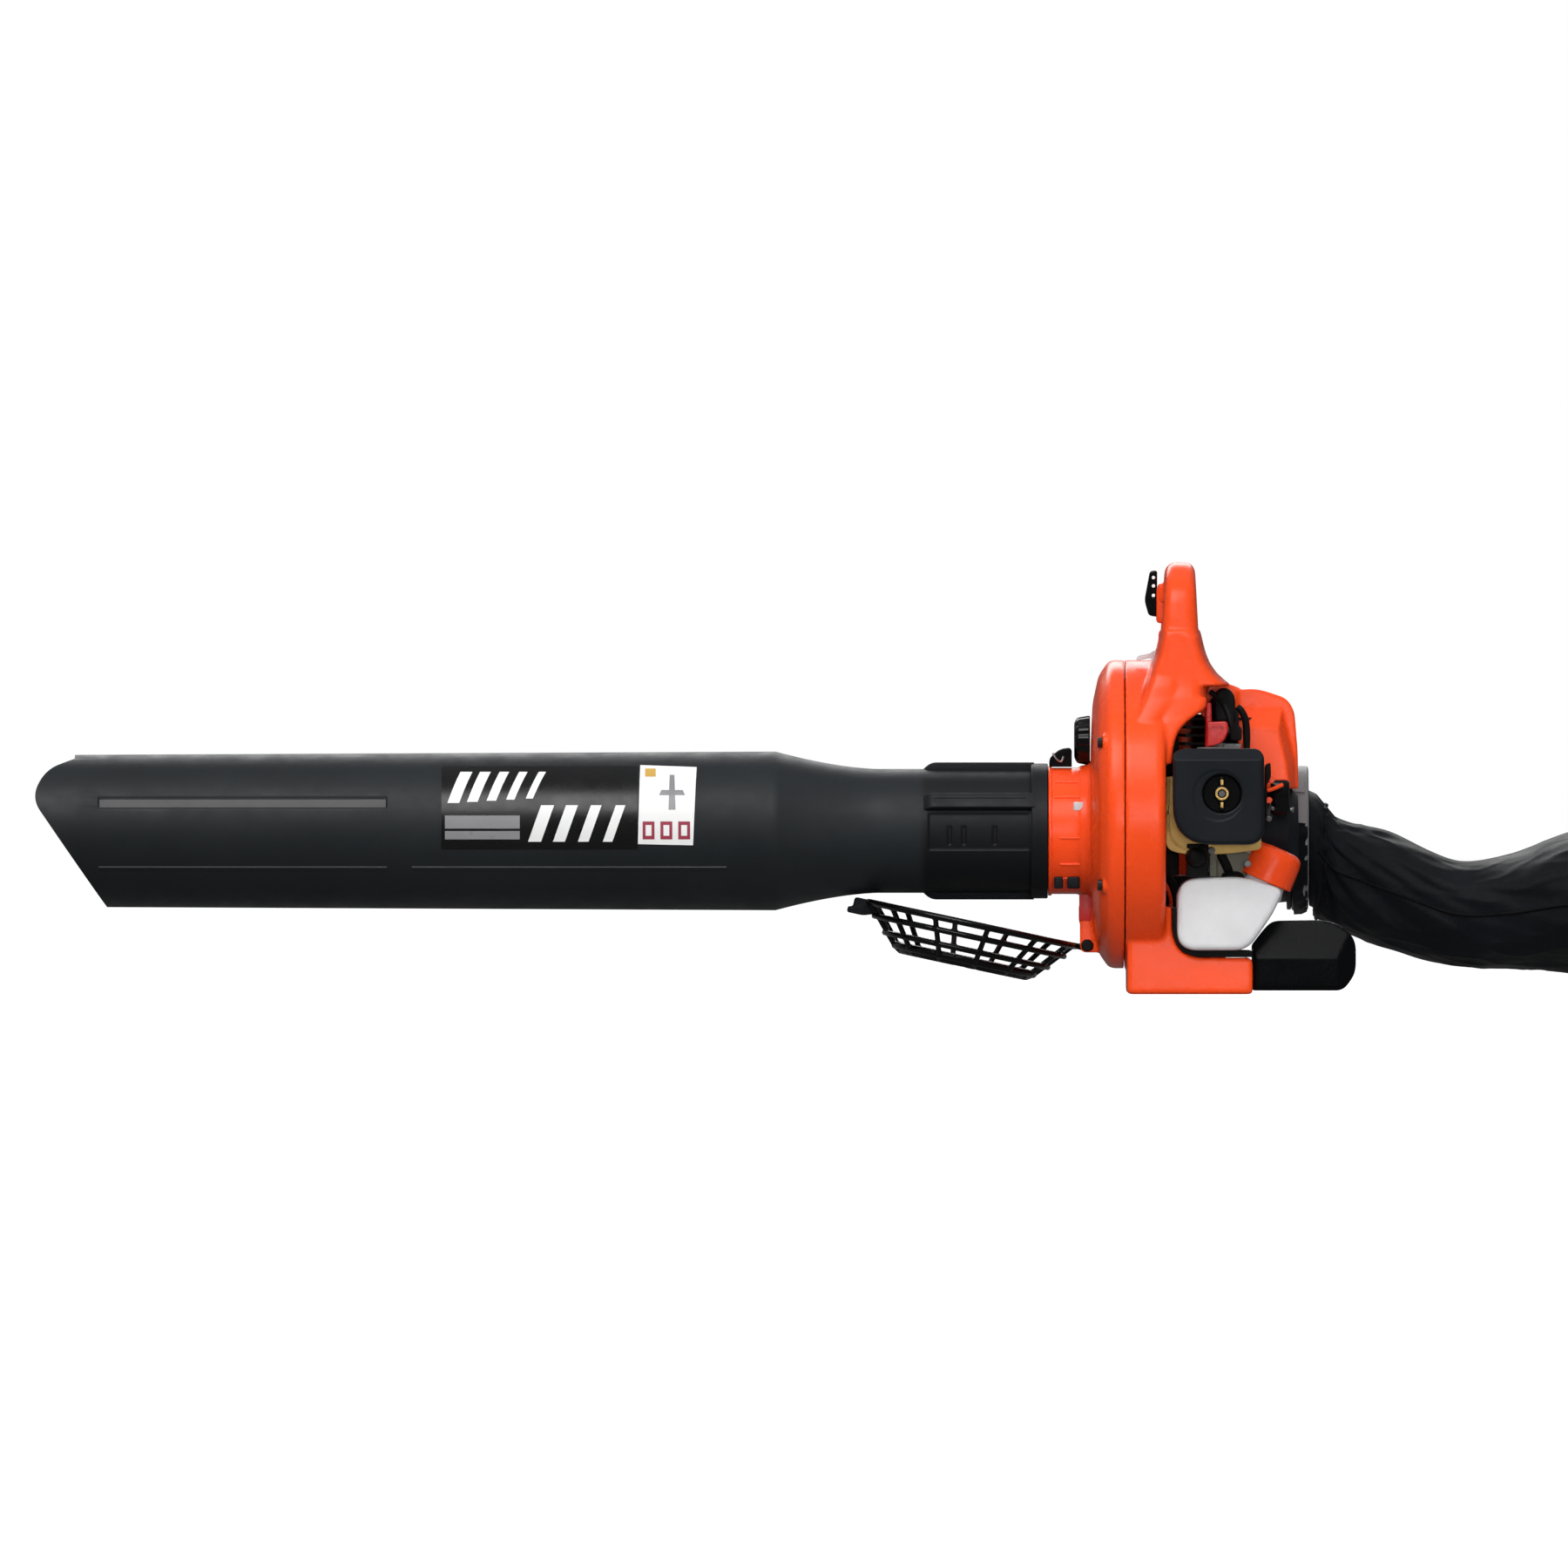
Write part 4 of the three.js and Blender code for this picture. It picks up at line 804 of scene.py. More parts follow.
def engine_cover():
    low, high = box_mm("engine_cover")
    x0, x1, y1, z0, z1 = low.x, high.x, high.y, low.z, high.z

    def tall(w):
        return [(41, z0 - w), (41, z1 - 0.7, 1), (58, z1 - w, 10), (82 - w, z1 - 8 - w, 11),
                (88.5 - w, 239, 10),
                (x1 - 0.5 - w, 205, 12), (x1 - w, z0 - w)]

    def short(w):
        return [(x0 + w, z0 - w), (x0 + w, 228, 5), (x0 + 7, 236 - w, 5), (50, 236 - w), (50, z0 - w)]

    def front(w, y_back, y_front, drop):
        """The near side: a face framed by a slope above it and a slope beside it."""
        back = [(41 + w, z0 - drop), (41 + w, 248.5 - w), (79 - w, 246.5 - w), (x1 - 0.6 - w, 198),
                (x1 - w, z0 - drop)]
        face = [(41 + w, z0 - drop), (41 + w, 224.5 - w), (75 - w, 224 - w), (82 - w, 192),
                (84 - w, z0 - drop)]
        return loft([[(x, y_back, z) for x, z in back], [(x, y_front, z) for x, z in face]])

    wing = prism("y", [(9, 236, 4), (9, 262, 5), (33, 262, 5), (46, 256.5), (46, 226, 4), (20, 226, 4)],
                 -22, -8, 1.5, 3, 5)
    solids = [prism("y", tall(0), -24, y1, 4, 5, 7), prism("y", short(0), 38, y1, 5, 4),
              front(0, -19, -40, 0), wing]
    cuts = [prism("y", tall(2.5), -21.5, y1 - 2.5, 3, 3), front(2.6, -16, -37.4, 8),
            block(35, 60, -20, 37.5, 150, 237),
            block(35, 60, 37, y1 - 3, 150, 233), prism("y", short(2.5), 40.5, y1 - 2.5, 3, 3),
            block(20, 48, 98, 110, 186, 212, 2), block(8, 40, 36, 42, 150, 203)]
    cuts += [block(92 - 6, 99, y, y + 5, 186, 226, 1) for y in range(-20, 90, 12)]
    mesh = combined(solids, cuts, voxel=1.15, soften=4)
    piece("engine_cover_shell", mesh, ORANGE, "powerhead", ["engine_cover"], 60)


def air_cleaner():
    low, high = box_mm("air_cleaner_cover")
    x0, x1, y0, z0, z1 = low.x, high.x, low.y, low.z, high.z
    knob = JOINT["knob_turn"]
    centre = (knob.x, 0, knob.z)
    face = [(x0, z0, 34), (x0, z1 - 3, 9), (x0 + 9, z1, 5), (x1 - 5, z1, 6), (x1, z1 - 6, 6), (x1, z0, 15)]
    body = prism("y", face, y0, y0 + 35, 3.5, 5, 9)
    inside = prism("y", [(x0 + 3, z0 + 3, 30), (x0 + 3, z1 - 3, 8), (x1 - 3, z1 - 3, 6),
                         (x1 - 3, z0 + 3, 12)],
                   y0 + 15.5, y0 + 50)
    dish = lathe("y", [(y0 - 5, 17.4), (y0 + 0.4, 17.2), (y0 + 1.6, 16.4), (y0 + 14.3, 16.2)], centre, 96)
    near = (knob.x - 3, 0, knob.z - 1.5)
    rings = lathe("y", [(y0 - 2, 22.4), (y0 + 0.5, 21.6)], near, 96)
    core = lathe("y", [(y0 - 3, 14), (y0 + 2, 14)], near, 96)
    groove = reopened(combined([rings], [core]))
    slope = prism("x", [(y0 - 2, z1 - 9.5), (y0 + 0.3, z1 - 9.5), (y0 + 9, z1 + 0.5), (y0 - 2, z1 + 5)],
                  x0 - 5, x1 + 5)
    mesh = combined([body], [inside, dish, groove, slope, rod("y", 3.4, y0, y0 + 20, centre, 32)],
                    voxel=0.7, soften=2)
    piece("air_cleaner_shell", mesh, SATIN, "powerhead", ["air_cleaner_cover"], 50)
    turn = lathe("y", [(y0 + 10.5, 14.6, 0.6), (y0 + 10.5, 15.5, 0.5), (y0 + 14, 15.5, 0.5), (y0 + 14, 14)],
                 centre, 96)
    wing = block(knob.x - 2.2, knob.x + 2.2, y0 + 4.2, y0 + 11.5, knob.z - 14.8, knob.z + 14.8, 1.2)
    hub = lathe("y", [(y0 + 3.2, 4.5), (y0 + 3.2, 6.4, 0.6), (y0 + 11.5, 7)], centre, 64)
    mesh = combined([turn, wing, hub], [rod("y", 3.4, y0 + 1, y0 + 6.5, centre, 32)])
    piece("cover_knob_wing", mesh, GLOSS, "knob", ["cover_knob"], 32)
    piece("cover_knob_rim", ring_shape("y", 5.6, 3.7, y0 + 2.7, y0 + 5.2, centre, 48, 0.4), GOLD, "knob")
    # Gold strips on the wing's tips: painted reflections of the wing's edges.
    for i, side in enumerate((-1, 1)):
        tip = block(knob.x - 1.3, knob.x + 1.3, y0 + 3.9, y0 + 6, knob.z + side * 9.5 - 2.4,
                    knob.z + side * 9.5 + 2.4, 0.5)
        piece(f"cover_knob_reflection_{i + 1}", tip, GOLD, "knob")
    stem = rod("y", 3, y0 + 4.4, y0 + 33, centre, 32, 0.4)
    piece("cover_knob_stud", stem, STEEL, "knob")
    keep("air_filter_element", FOAM, 0.6)


def fuel_tank():
    low = box_mm("fuel_tank")[0]
    x0, z0 = low.x, low.z
    body = [(x0, z0, 17), (x0, 98, 20), (45, 99, 10), (79, 88.5, 8), (71, 70, 8), (61, 55, 8), (48, z0, 12)]
    skin = prism("y", body, -88, 15, 12, 7, 8)
    cap = JOINT["cap_turn"]
    tilt = Matrix.Translation(cap) @ Matrix.Rotation(math.radians(23.5), 4, "Y")
    neck = turned(lathe("z", [(-8, 19), (0, 17.2, 3), (12, 17)], (0, 0, 0), 64), tilt)
    bore = turned(rod("z", 13.5, 4, 30, (0, 0, 0), 64), tilt)
    seam = prism("y", body, -38, -35.2, 0.8, 2, 8)
    bmesh.ops.scale(seam, vec=(1.012, 1, 1.012), verts=seam.verts,
                    space=Matrix.Translation((-34, 0, -68)))
    mesh = combined([skin, neck, seam], [bore], voxel=1.1, soften=3)
    piece("fuel_tank_skin", mesh, TANK, "powerhead", ["fuel_tank"], 60)

    def flutes(angle, along, radius):
        return 1 - 0.009 * (0.5 - 0.5 * math.cos(12 * angle)) ** 4 if 8 < along < 17 and radius > 20 else 1

    profile = [(2.5, 21.6), (3.2, 22.9, 0.5), (4.8, 22.9), (5.6, 22.8), (9, 22.8), (13, 22.7), (17, 22.6),
               (20.4, 22.5), (22.4, 22.5), (28.5, 21.6, 6), (32.2, 17.5, 5), (32.8, 11, 2)]
    cover = turned(lathe("z", profile, (0, 0, 0), 240, wave=flutes), tilt)
    room = turned(rod("z", 17.6, 2, 13, (0, 0, 0), 64), tilt)
    piece("fuel_cap_cover", combined([cover], [room]), ORANGE, "cap", ["fuel_cap"], 40)
    arrow = turned(block(-8, 8, -1.4, 1.4, 32.2, 33.1, 0.4), tilt)
    piece("fuel_cap_grip", arrow, ORANGE, "cap")
    # A dark rubber liner along the stand's inner curve, closing the gap below and beside the tank so it shows
    # dark there.
    gap_liner = prism("y", [(-14.8, 73), (-14.8, 50, 8), (-8, 36, 9), (6, 31.3, 4), (53, 31.3), (52.5, 37, 2),
                         (8, 38.5, 12), (-7.5, 46, 12), (-9.5, 73)], -80, 8, 1, 2, 7)
    piece("tank_gap_liner", gap_liner, RUBBER, "powerhead")
    keep("tank_cushion", RUBBER, 1.2)
    pad = block(30, 47, -79, -70, 30.6, 34.2, 1)
    piece("tank_pad", pad, WHITE, "powerhead")


# ---------------------------------------------------------------- grille and locks

def tilt_at_hinge():
    return Matrix.Translation(JOINT["grille_swing"]) @ Matrix.Rotation(math.radians(12.1), 4, "Y")


def grille():
    r, floor, depth, reach = 92.0, 58.0, 40.0, 99.0
    centre = Vector((-reach, 0, 0))
    count = 120

    def hoop(radius, z, half, flat):
        path = [centre + Vector((radius * math.cos(a), radius * math.sin(a), z))
                for a in (2 * math.pi * k / count for k in range(count))]
        return sweep(path, half, 10, closed=True, flat=flat)

    slope = lambda radius: -2 - (r - radius) / (r - floor) * (depth - 5)
    solids = [hoop(r - 3, -2.9, 2.9, 1.0), hoop(82, slope(82) - 1, 2.3, 1.1),
              hoop(70.5, slope(70.5) - 1, 2.3, 1.1),
              hoop(floor + 2, -depth + 6.5, 2.8, 1.2), hoop(floor - 4, -depth + 3, 2.9, 1.0),
              hoop(40, -depth + 2.6, 2.2, 1.1), hoop(21.5, -depth + 2.6, 2.5, 1.0)]
    for i in range(12):
        angle = math.pi * (i + 0.3) / 6
        inner = 20
        line = [(r - 3, -2.4), (floor + 2.5, -depth + 6), (floor - 3, -depth + 2.3), (inner, -depth + 2.2)]
        path = [centre + Vector((rr * math.cos(angle), rr * math.sin(angle), z)) for rr, z in fillet(
            [line[0], (*line[1], 2), (*line[2], 2), line[3]], 3, closed=False)]
        solids.append(sweep(path, 2.4, 10, 2))
    knuckle = combined([rod("y", 6, -11.5, 11.5, (0, 0, 0), 48, 0.8), block(-13, 0, -11.5, 11.5, -5, 0, 1)],
                       [rod("y", 2.8, -13, 13, (0, 0, 0), 32)])
    arm = bmesh.new()
    arm.from_mesh(knuckle)
    # The bars cross each other, so they are skinned together instead of joined one by one.
    cage = bmesh.new()
    for bar in solids + [arm]:
        part = bpy.data.meshes.new("bar")
        bar.to_mesh(part)
        bar.free()
        cage.from_mesh(part)
        bpy.data.meshes.remove(part)
    mesh = combined([turned(cage, tilt_at_hinge())], voxel=0.8, soften=2)
    piece("inlet_grille_cage", mesh, GLOSS, "grille", ["inlet_grille"], 60)
    rim = -reach - r - 0.3
    tab = combined([prism("y", [(rim + 12, -1), (rim - 9, -1, 3), (rim - 9, -9, 2), (rim - 13, -10, 1.5),
                                (rim - 13, -15, 2), (rim + 1, -15, 3), (rim + 16, -10)], -10, 10, 1.2, 3)])
    tab.transform(tilt_at_hinge())
    piece("grille_latch_tab", tab, SATIN, "grille", ["grille_latch"], 40)
    keep("grille_hinge_pin", STEEL, 0.4)
    hinge = JOINT["grille_swing"]
    for i, side in enumerate((-1, 1)):
        cap = lathe("y", [(0, 5.2), (1.2, 5.2, 0.8), (2.4, 3.8, 0.8)], (0, 0, 0), 40)
        if side < 0:
            turned(cap, Matrix.Rotation(math.pi, 4, "X"))
        bmesh.ops.translate(cap, verts=cap.verts, vec=(hinge.x, side * 18.6, hinge.z))
        piece(f"hinge_cap_{i + 1}", cap, RUBBER, "powerhead")
        plate = block(hinge.x - 6.6, hinge.x + 4, side * 19, side * 17.6, 62, 84, 0.5)
        piece(f"hinge_cover_{i + 1}", plate, RED, "powerhead")


def tube_lock():
    low, high = box_mm("tube_lock_block")
    x0, x1, z0, z1 = low.x, high.x, low.z, high.z
    lock = prism("y", [(x0, z0 + 0.4), (x0, z0 + 8, 5), (x0 + 9, z1 - 1, 7), (x1 - 2, z1, 2), (x1, z1 - 2, 2),
                       (x1, z0 + 0.4)], -11, 11, 2.4, 4, 6)
    piece("tube_lock_body", lock, GLOSS, "powerhead", ["tube_lock_block"], 40)
    hook = sweep([(x0 + 3, -11.8, z0 + 12), (x0 + 6, -12.6, z0 + 7), (x0 + 10, -12.2, z0 + 5),
                  (x0 + 12, -11.4, z0 + 9)], 0.9, 10)
    piece("tube_lock_spring", hook, STEEL, "powerhead")
    spot = JOINT["latch_turn"]
    low, high = box_mm("latch_knob")

    def lobes(angle, along, radius):
        return 1 - 0.05 * (0.5 - 0.5 * math.cos(12 * angle)) ** 2 if radius > 12 else 1

    knob = lathe("x", [(low.x, 12), (low.x, 14.5, 2), (low.x + 2.4, 19.3, 2), (high.x - 1.6, 21, 1.5),
                       (high.x - 0.4, 20.4, 1), (high.x - 0.4, 9)], (0, 0, spot.z), 192, wave=lobes)
    slot = block(low.x - 3, low.x + 1.6, -2, 2, spot.z - 10, spot.z + 10, 0.6)
    piece("latch_knob_grip", combined([knob], [slot]), GLOSS, "latch", ["latch_knob"], 32)


# ---------------------------------------------------------------- small engine pieces

def engine_bits():
    keep("cylinder", DARK_STEEL, 0.4)
    for node in ("crankcase_front", "crankcase_rear", "carburetor", "impeller", "flywheel", "piston"):
        keep(node, ALLOY, 0.4)
    for node in ("shredder_blade", "crankshaft_front", "crankshaft_rear", "bearing_front", "bearing_rear",
                 "piston_pin", "piston_ring", "connecting_rod", "crank_pin", "throttle_shaft_lever",
                 "muffler",
                 "recoil_spring", "trigger_pin"):
        keep(node, STEEL, 0.25)
    keep("insulator_block", AMBER)
    keep("ignition_coil", AMBER)
    keep("spark_plug", CERAMIC)
    plate_low, plate_high = box_mm("intake_plate")
    x0, y0, z0, z1 = plate_low.x, plate_low.y, plate_low.z, plate_high.z
    edge = x0 - 5.6
    plate = prism("y", [(edge, 122, 12), (edge, 183), (x0, 184), (x0, z1, 4), (60, z1, 4), (60, 122, 4),
                        (30, z0 + 6, 10),
                        (x0 + 8, z0 + 6, 10)], y0, y0 + 2.7, 0.8, 3, 7)
    holes = [rod("y", 8, y0 - 5, y0 + 6, (24, 0, 191), 48)]
    mesh = combined([plate], holes)
    piece("intake_plate_sheet", mesh, GOLD, "powerhead", ["intake_plate"], 30)
    rib = sweep([(edge + 2.4, y0 - 0.2, 181), (edge + 2.4, y0 - 0.2, 140), (x0 + 5, y0 - 0.2, 125),
                 (x0 + 22, y0 - 0.2, 120)], 1.2, 10)
    piece("intake_plate_rib", rib, GOLD, "powerhead")
    for i, (x, z) in enumerate(((x0 + 5, 198), (52, 130), (18, 121))):
        screw = lathe("y", [(y0 - 2.2, 0.5), (y0 - 2.2, 2.6, 0.5), (y0 - 0.9, 3.4, 0.4), (y0 + 0.2, 3.4)],
                      (x, 0, z), 32)
        piece(f"intake_screw_{i + 1}", screw, STEEL, "powerhead")
    for i, (x, z, r, look) in enumerate(((49, 121, 2.4, GREY), (8, 121, 4.5, RUBBER), (48.5, 110, 3, GREY))):
        bolt = lathe("y", [(-84, 0.5), (-84, r - 0.4, 0.3), (-83, r, 0.4), (-72, r)], (x, 0, z), 32)
        piece(f"carb_fitting_{i + 1}", bolt, look, "powerhead")
    housing = prism("y", [(-3, 99, 2), (-3, 127, 2), (15.5, 127, 2), (15.5, 99, 2)], -92, -78, 1.6, 3)
    piece("primer_housing", housing, RUBBER, "powerhead")
    post = prism("y", [(16.5, 99), (16.5, 128, 2), (22.5, 128, 2), (22.5, 99)], -84, -76, 1, 2)
    piece("carb_post", post, OLIVE, "powerhead")
    sheet = prism("y", [(19, 99), (19, 131), (53, 131), (55, 124, 3), (49, 112, 5), (46, 99)], -70, -68, 0.5)
    piece("carb_plate", sheet, OLIVE, "powerhead")
    grommet = lathe("z", [(96.5, 9), (98, 10.5, 1), (101.5, 10, 1), (103.6, 6)], (36, -66, 0), 64)
    piece("hose_grommet", grommet, RUBBER, "powerhead")
    low_pipe = sweep([(22, -80, 130), (25, -78, 121), (30, -73, 110), (34, -67, 101)], 3.8, 20, 8)
    piece("fuel_pipe_sleeve", low_pipe, RUBBER, "powerhead")
    carb_side()
    low, high = box_mm("primer_bulb")
    bulb = lathe("y", [(low.y, 0.4), (low.y + 0.4, 4, 2), (low.y + 3.4, 7.6, 2), (high.y, 9)],
                 ((low.x + high.x) / 2, 0, (low.z + high.z) / 2), 64)
    piece("primer_bulb_dome", bulb, RUBBER, "powerhead", ["primer_bulb"], 50)
    low, high = box_mm("choke_lever")
    choke = combined([rod("y", 6, low.y, high.y, (2, 0, 194), 40, 0.4),
                      prism("y", [(2, 190), (2, 198), (-9, 203, 3), (-14, 199, 3), (-12, 194, 3)], low.y,
                            high.y, 0.6, 3)])
    piece("choke_lever_arm", choke, SATIN, "choke", ["choke_lever"], 35)
    bead = lathe("y", [(low.y - 1.6, 0.3), (low.y - 1.2, 1.6, 0.8), (low.y + 0.1, 2.2)], (-11.5, 0, 198.6),
                 24)
    piece("choke_lever_dot", bead, WHITE, "choke")


def carb_side():
    """Adjusting screws and a bracket beside the air cleaner."""
    bracket = prism("y", [(62.6, 148), (62.6, 193, 3), (67.5, 195.5, 2), (68.2, 184, 3), (64.6, 176),
                          (64.6, 148)],
                    -100, -84, 1, 3)
    piece("carb_bracket", bracket, RUBBER, "powerhead")
    for i, (x, z, r, look) in enumerate(((68.6, 180, 2.6, ORANGE), (66.5, 163.5, 2.8, ORANGE),
                                         (69.5, 156.5, 1.8, STEEL),
                                         (66.4, 148, 2.6, STEEL))):
        head = lathe("y", [(-79, 0.5), (-79, r - 0.5, 0.4), (-78, r, 0.4), (-70, r)], (x, 0, z), 40)
        slot = block(x - r, x + r, -80, -78.3, z - 0.35, z + 0.35)
        piece(f"adjuster_{i + 1}", combined([head], [slot]), look, "powerhead")
    lever = sweep([(65, -80, 171.5), (70, -79, 173), (78, -76, 176.5)], 1.7, 14)
    piece("adjuster_lever", lever, ORANGE, "powerhead")
    spring = [(65.5 + 0.5 * k / 8, -74 + 2.6 * math.cos(k * math.pi / 4),
               150 + k / 4 + 2.6 * math.sin(k * math.pi / 4))
              for k in range(40)]
    piece("governor_spring", sweep(spring, 0.5, 8, 2), STEEL, "powerhead")


def plug_boot():
    tilt = Matrix.Translation((27, -4, 212)) @ Matrix.Rotation(math.radians(50), 4, "X")

    def ribs(angle, along, radius):
        return 1 + (0.05 if int(along / 2.4) % 2 else 0) if 36 < along < 48 else 1

    profile = [(28, 8.6), (28.5, 9.2, 0.5)] + [(28.5 + 0.8 * k, 9.4 + 0.06 * k) for k in range(1, 25)]
    profile += [(50, 10.8, 3), (53.8, 7.5, 2)]
    boot = turned(lathe("z", profile, (0, 0, 0), 96, wave=ribs), tilt)
    hood = prism("y", [(21.5, 229, 3), (20.5, 250, 6), (25, 258.4, 6), (34, 257.5, 5), (38.5, 250, 5),
                       (38, 229, 3)],
                 -63, -38, 3, 4, 6)
    sleeve = prism("y", [(34, 213.5, 2), (35, 240, 4), (41, 239, 4), (41.5, 226, 2), (44, 224, 2),
                         (43.5, 213.5, 2)],
                   -60, -44, 2.2, 4, 5)
    mesh = combined([boot, hood, sleeve], [turned(rod("z", 5.3, 20, 42.5, (0, 0, 0), 40), tilt)], voxel=0.7,
                    soften=2)
    piece("spark_plug_boot_cap", mesh, RUBBER, "powerhead", ["spark_plug_boot"], 50)
    lead = [(40, -49.4, 242), (44, -49.8, 238), (47.5, -48, 228), (48, -47, 205), (46, -49, 175),
            (30, -50, 146),
            (10, -50, 138), (3.5, -50, 137.5)]
    piece("ignition_lead_wire", sweep(lead, 3, 20, 10), RUBBER, "powerhead", ["ignition_lead"], 60)
    cable = [(17, -60, 255), (24, -61, 249), (31, -66, 240), (35, -69, 227), (36, -66, 215)]
    piece("throttle_cable_wire", sweep(cable, 2.3, 16, 10), RUBBER, "powerhead", ["throttle_cable"], 60)
    feed = [(20, -76, 173.5), (21, -78, 150), (26, -74, 128), (33, -60, 112), (34, -52, 103.5)]
    piece("fuel_hose_line", sweep(feed, 3.2, 20, 10), RUBBER, "powerhead", ["fuel_hose"], 60)
    clip = combined([prism("y", [(14, 229.5, 2), (31.5, 230, 3), (32.5, 222, 4), (28.5, 212.5, 5),
                                 (20, 209, 4),
                                 (14, 209)], -82, -68, 2, 4, 6)],
                    [prism("y", [(17, 225, 2), (28, 226, 2), (27.5, 222, 2), (17, 221, 2)], -90, -79.5, 0.5)])
    piece("lead_clip", clip, RED, "powerhead", [], 40)
    strip = prism("y", [(12.6, 208, 2), (13.5, 246, 2), (18, 246, 3), (19, 208, 2)], -78, -66, 1.4, 3)
    piece("lead_clip_strip", strip, RED, "powerhead", [], 40)


def starter():
    low, high = box_mm("starter_housing")
    x0, x1 = low.x, high.x
    rope_z = AXIS_Z + 28.2
    drum = lathe("x", [(x0, 36), (x0 + 0.8, 37), (85, 37, 3), (x1 - 2.6, 32.4, 2), (x1, 30, 1)], HUB, 160)
    boss = block(70, 82, -42, -18, rope_z - 6.5, rope_z + 6.5, 1.5)
    hollow = lathe("x", [(x0 - 1, 34.5), (85, 34.5), (x1 - 3, 29)], HUB, 128)
    post = rod("x", 7.6, 67, x1 - 1, HUB, 48)
    room = reopened(combined([hollow], [post]))
    slots = []
    for k in range(12):
        slot = block(x1 - 4.5, x1 + 3, -1.5, 1.5, 13, 27, 0.6)
        slots.append(turned(slot, Matrix.Translation(HUB) @ Matrix.Rotation(k * math.pi / 6, 4, "X")))
    eye = rod("y", 2.2, -50, 5, (76, 0, rope_z), 32)
    mesh = combined([drum, boss], [room, eye, *slots], voxel=0.9, soften=2)
    piece("starter_housing_drum", mesh, SATIN, "powerhead", ["starter_housing"], 50)
    for i in range(3):
        angle = 2 * math.pi * i / 3 + 0.5
        y, z = 33.5 * math.cos(angle), AXIS_Z + 33.5 * math.sin(angle)
        screw = lathe("x", [(85, 3.2), (87.4, 3.2, 0.5), (88.2, 2.2, 0.4)], (0, y, z), 32)
        piece(f"starter_screw_{i + 1}", screw, STEEL, "powerhead")
    keep("starter_reel", SATIN)
    rope = sweep([(76, 4, rope_z), (76, -20, rope_z), (76, -42.6, rope_z)], 1.4, 16, 12)
    piece("starter_rope_cord", rope, CLOTH, "pull", ["starter_rope"], 60)
    outline = [(-43, -6), (-43, 6), (-50, 8, 3), (-53, 15, 5), (-63, 15, 5), (-66, 0, 10), (-63, -15, 5),
               (-53, -15, 5),
               (-50, -8, 3)]
    grip = prism("x", [(y, rope_z + z, *rest) for y, z, *rest in outline], 68, 84, 3.5, 5, 6)
    piece("starter_grip_handle", grip, GLOSS, "pull", ["starter_grip"], 40)


def controls():
    pivot = JOINT["trigger_press"]
    low, high = box_mm("throttle_trigger")
    blade = prism("x", [(65, 342, 3), (58, 344, 3), (28, 343.5, 3), (23.5, 338, 3), (25, 327, 5),
                        (34, 320, 7),
                        (46, 317, 7), (57, 321, 5), (64, 331, 5)], low.x, high.x, 2.2, 4, 6)
    mesh = combined([blade], [rod("x", 2.3, -30, 20, (0, pivot.y, pivot.z), 32)])
    piece("throttle_trigger_blade", mesh, GLOSS, "trigger", ["throttle_trigger"], 40)
    low, high = box_mm("control_lever")
    x0, x1, z1 = low.x, high.x, high.z
    wedge = prism("y", [(x1, 318), (x1, z1, 2), (x1 - 6, z1, 3), (x0, 332, 4), (x0 + 3.6, 319, 3)], low.y,
                  high.y, 2.4, 4)
    piece("control_lever_wedge", wedge, GLOSS, "control", ["control_lever"], 40)
    # Three white dots near the lever's right edge: painted highlights.
    for i, z in enumerate((351, 344, 336)):
        dot = lathe("y", [(low.y - 0.5, 0.2), (low.y - 0.5, 1.3, 0.3), (low.y + 0.3, 1.6)],
                    (x1 - 3.2, 0, z), 24)
        piece(f"control_highlight_dot_{i + 1}", dot, WHITE, "control")
    guide = prism("y", [(-45, 281, 1), (-44, 285, 2), (-33, 287.5), (-30, 290, 2), (-26.5, 289, 1),
                        (-28.5, 278), (-31.5, 278), (-32, 283.5, 2)], -38, -32, 1, 3)
    piece("cable_guide", guide, INK_SILVER, "powerhead")


# ---------------------------------------------------------------- elbow and bag

RING_LOW, RING_HIGH = box_mm("bag_ring")
OUTLET_Y, OUTLET_Z = (RING_LOW.y + RING_HIGH.y) / 2, (RING_LOW.z + RING_HIGH.z) / 2
RING_R = (RING_HIGH.z - RING_LOW.z) / 2
RING_BORE = RING_R - 6


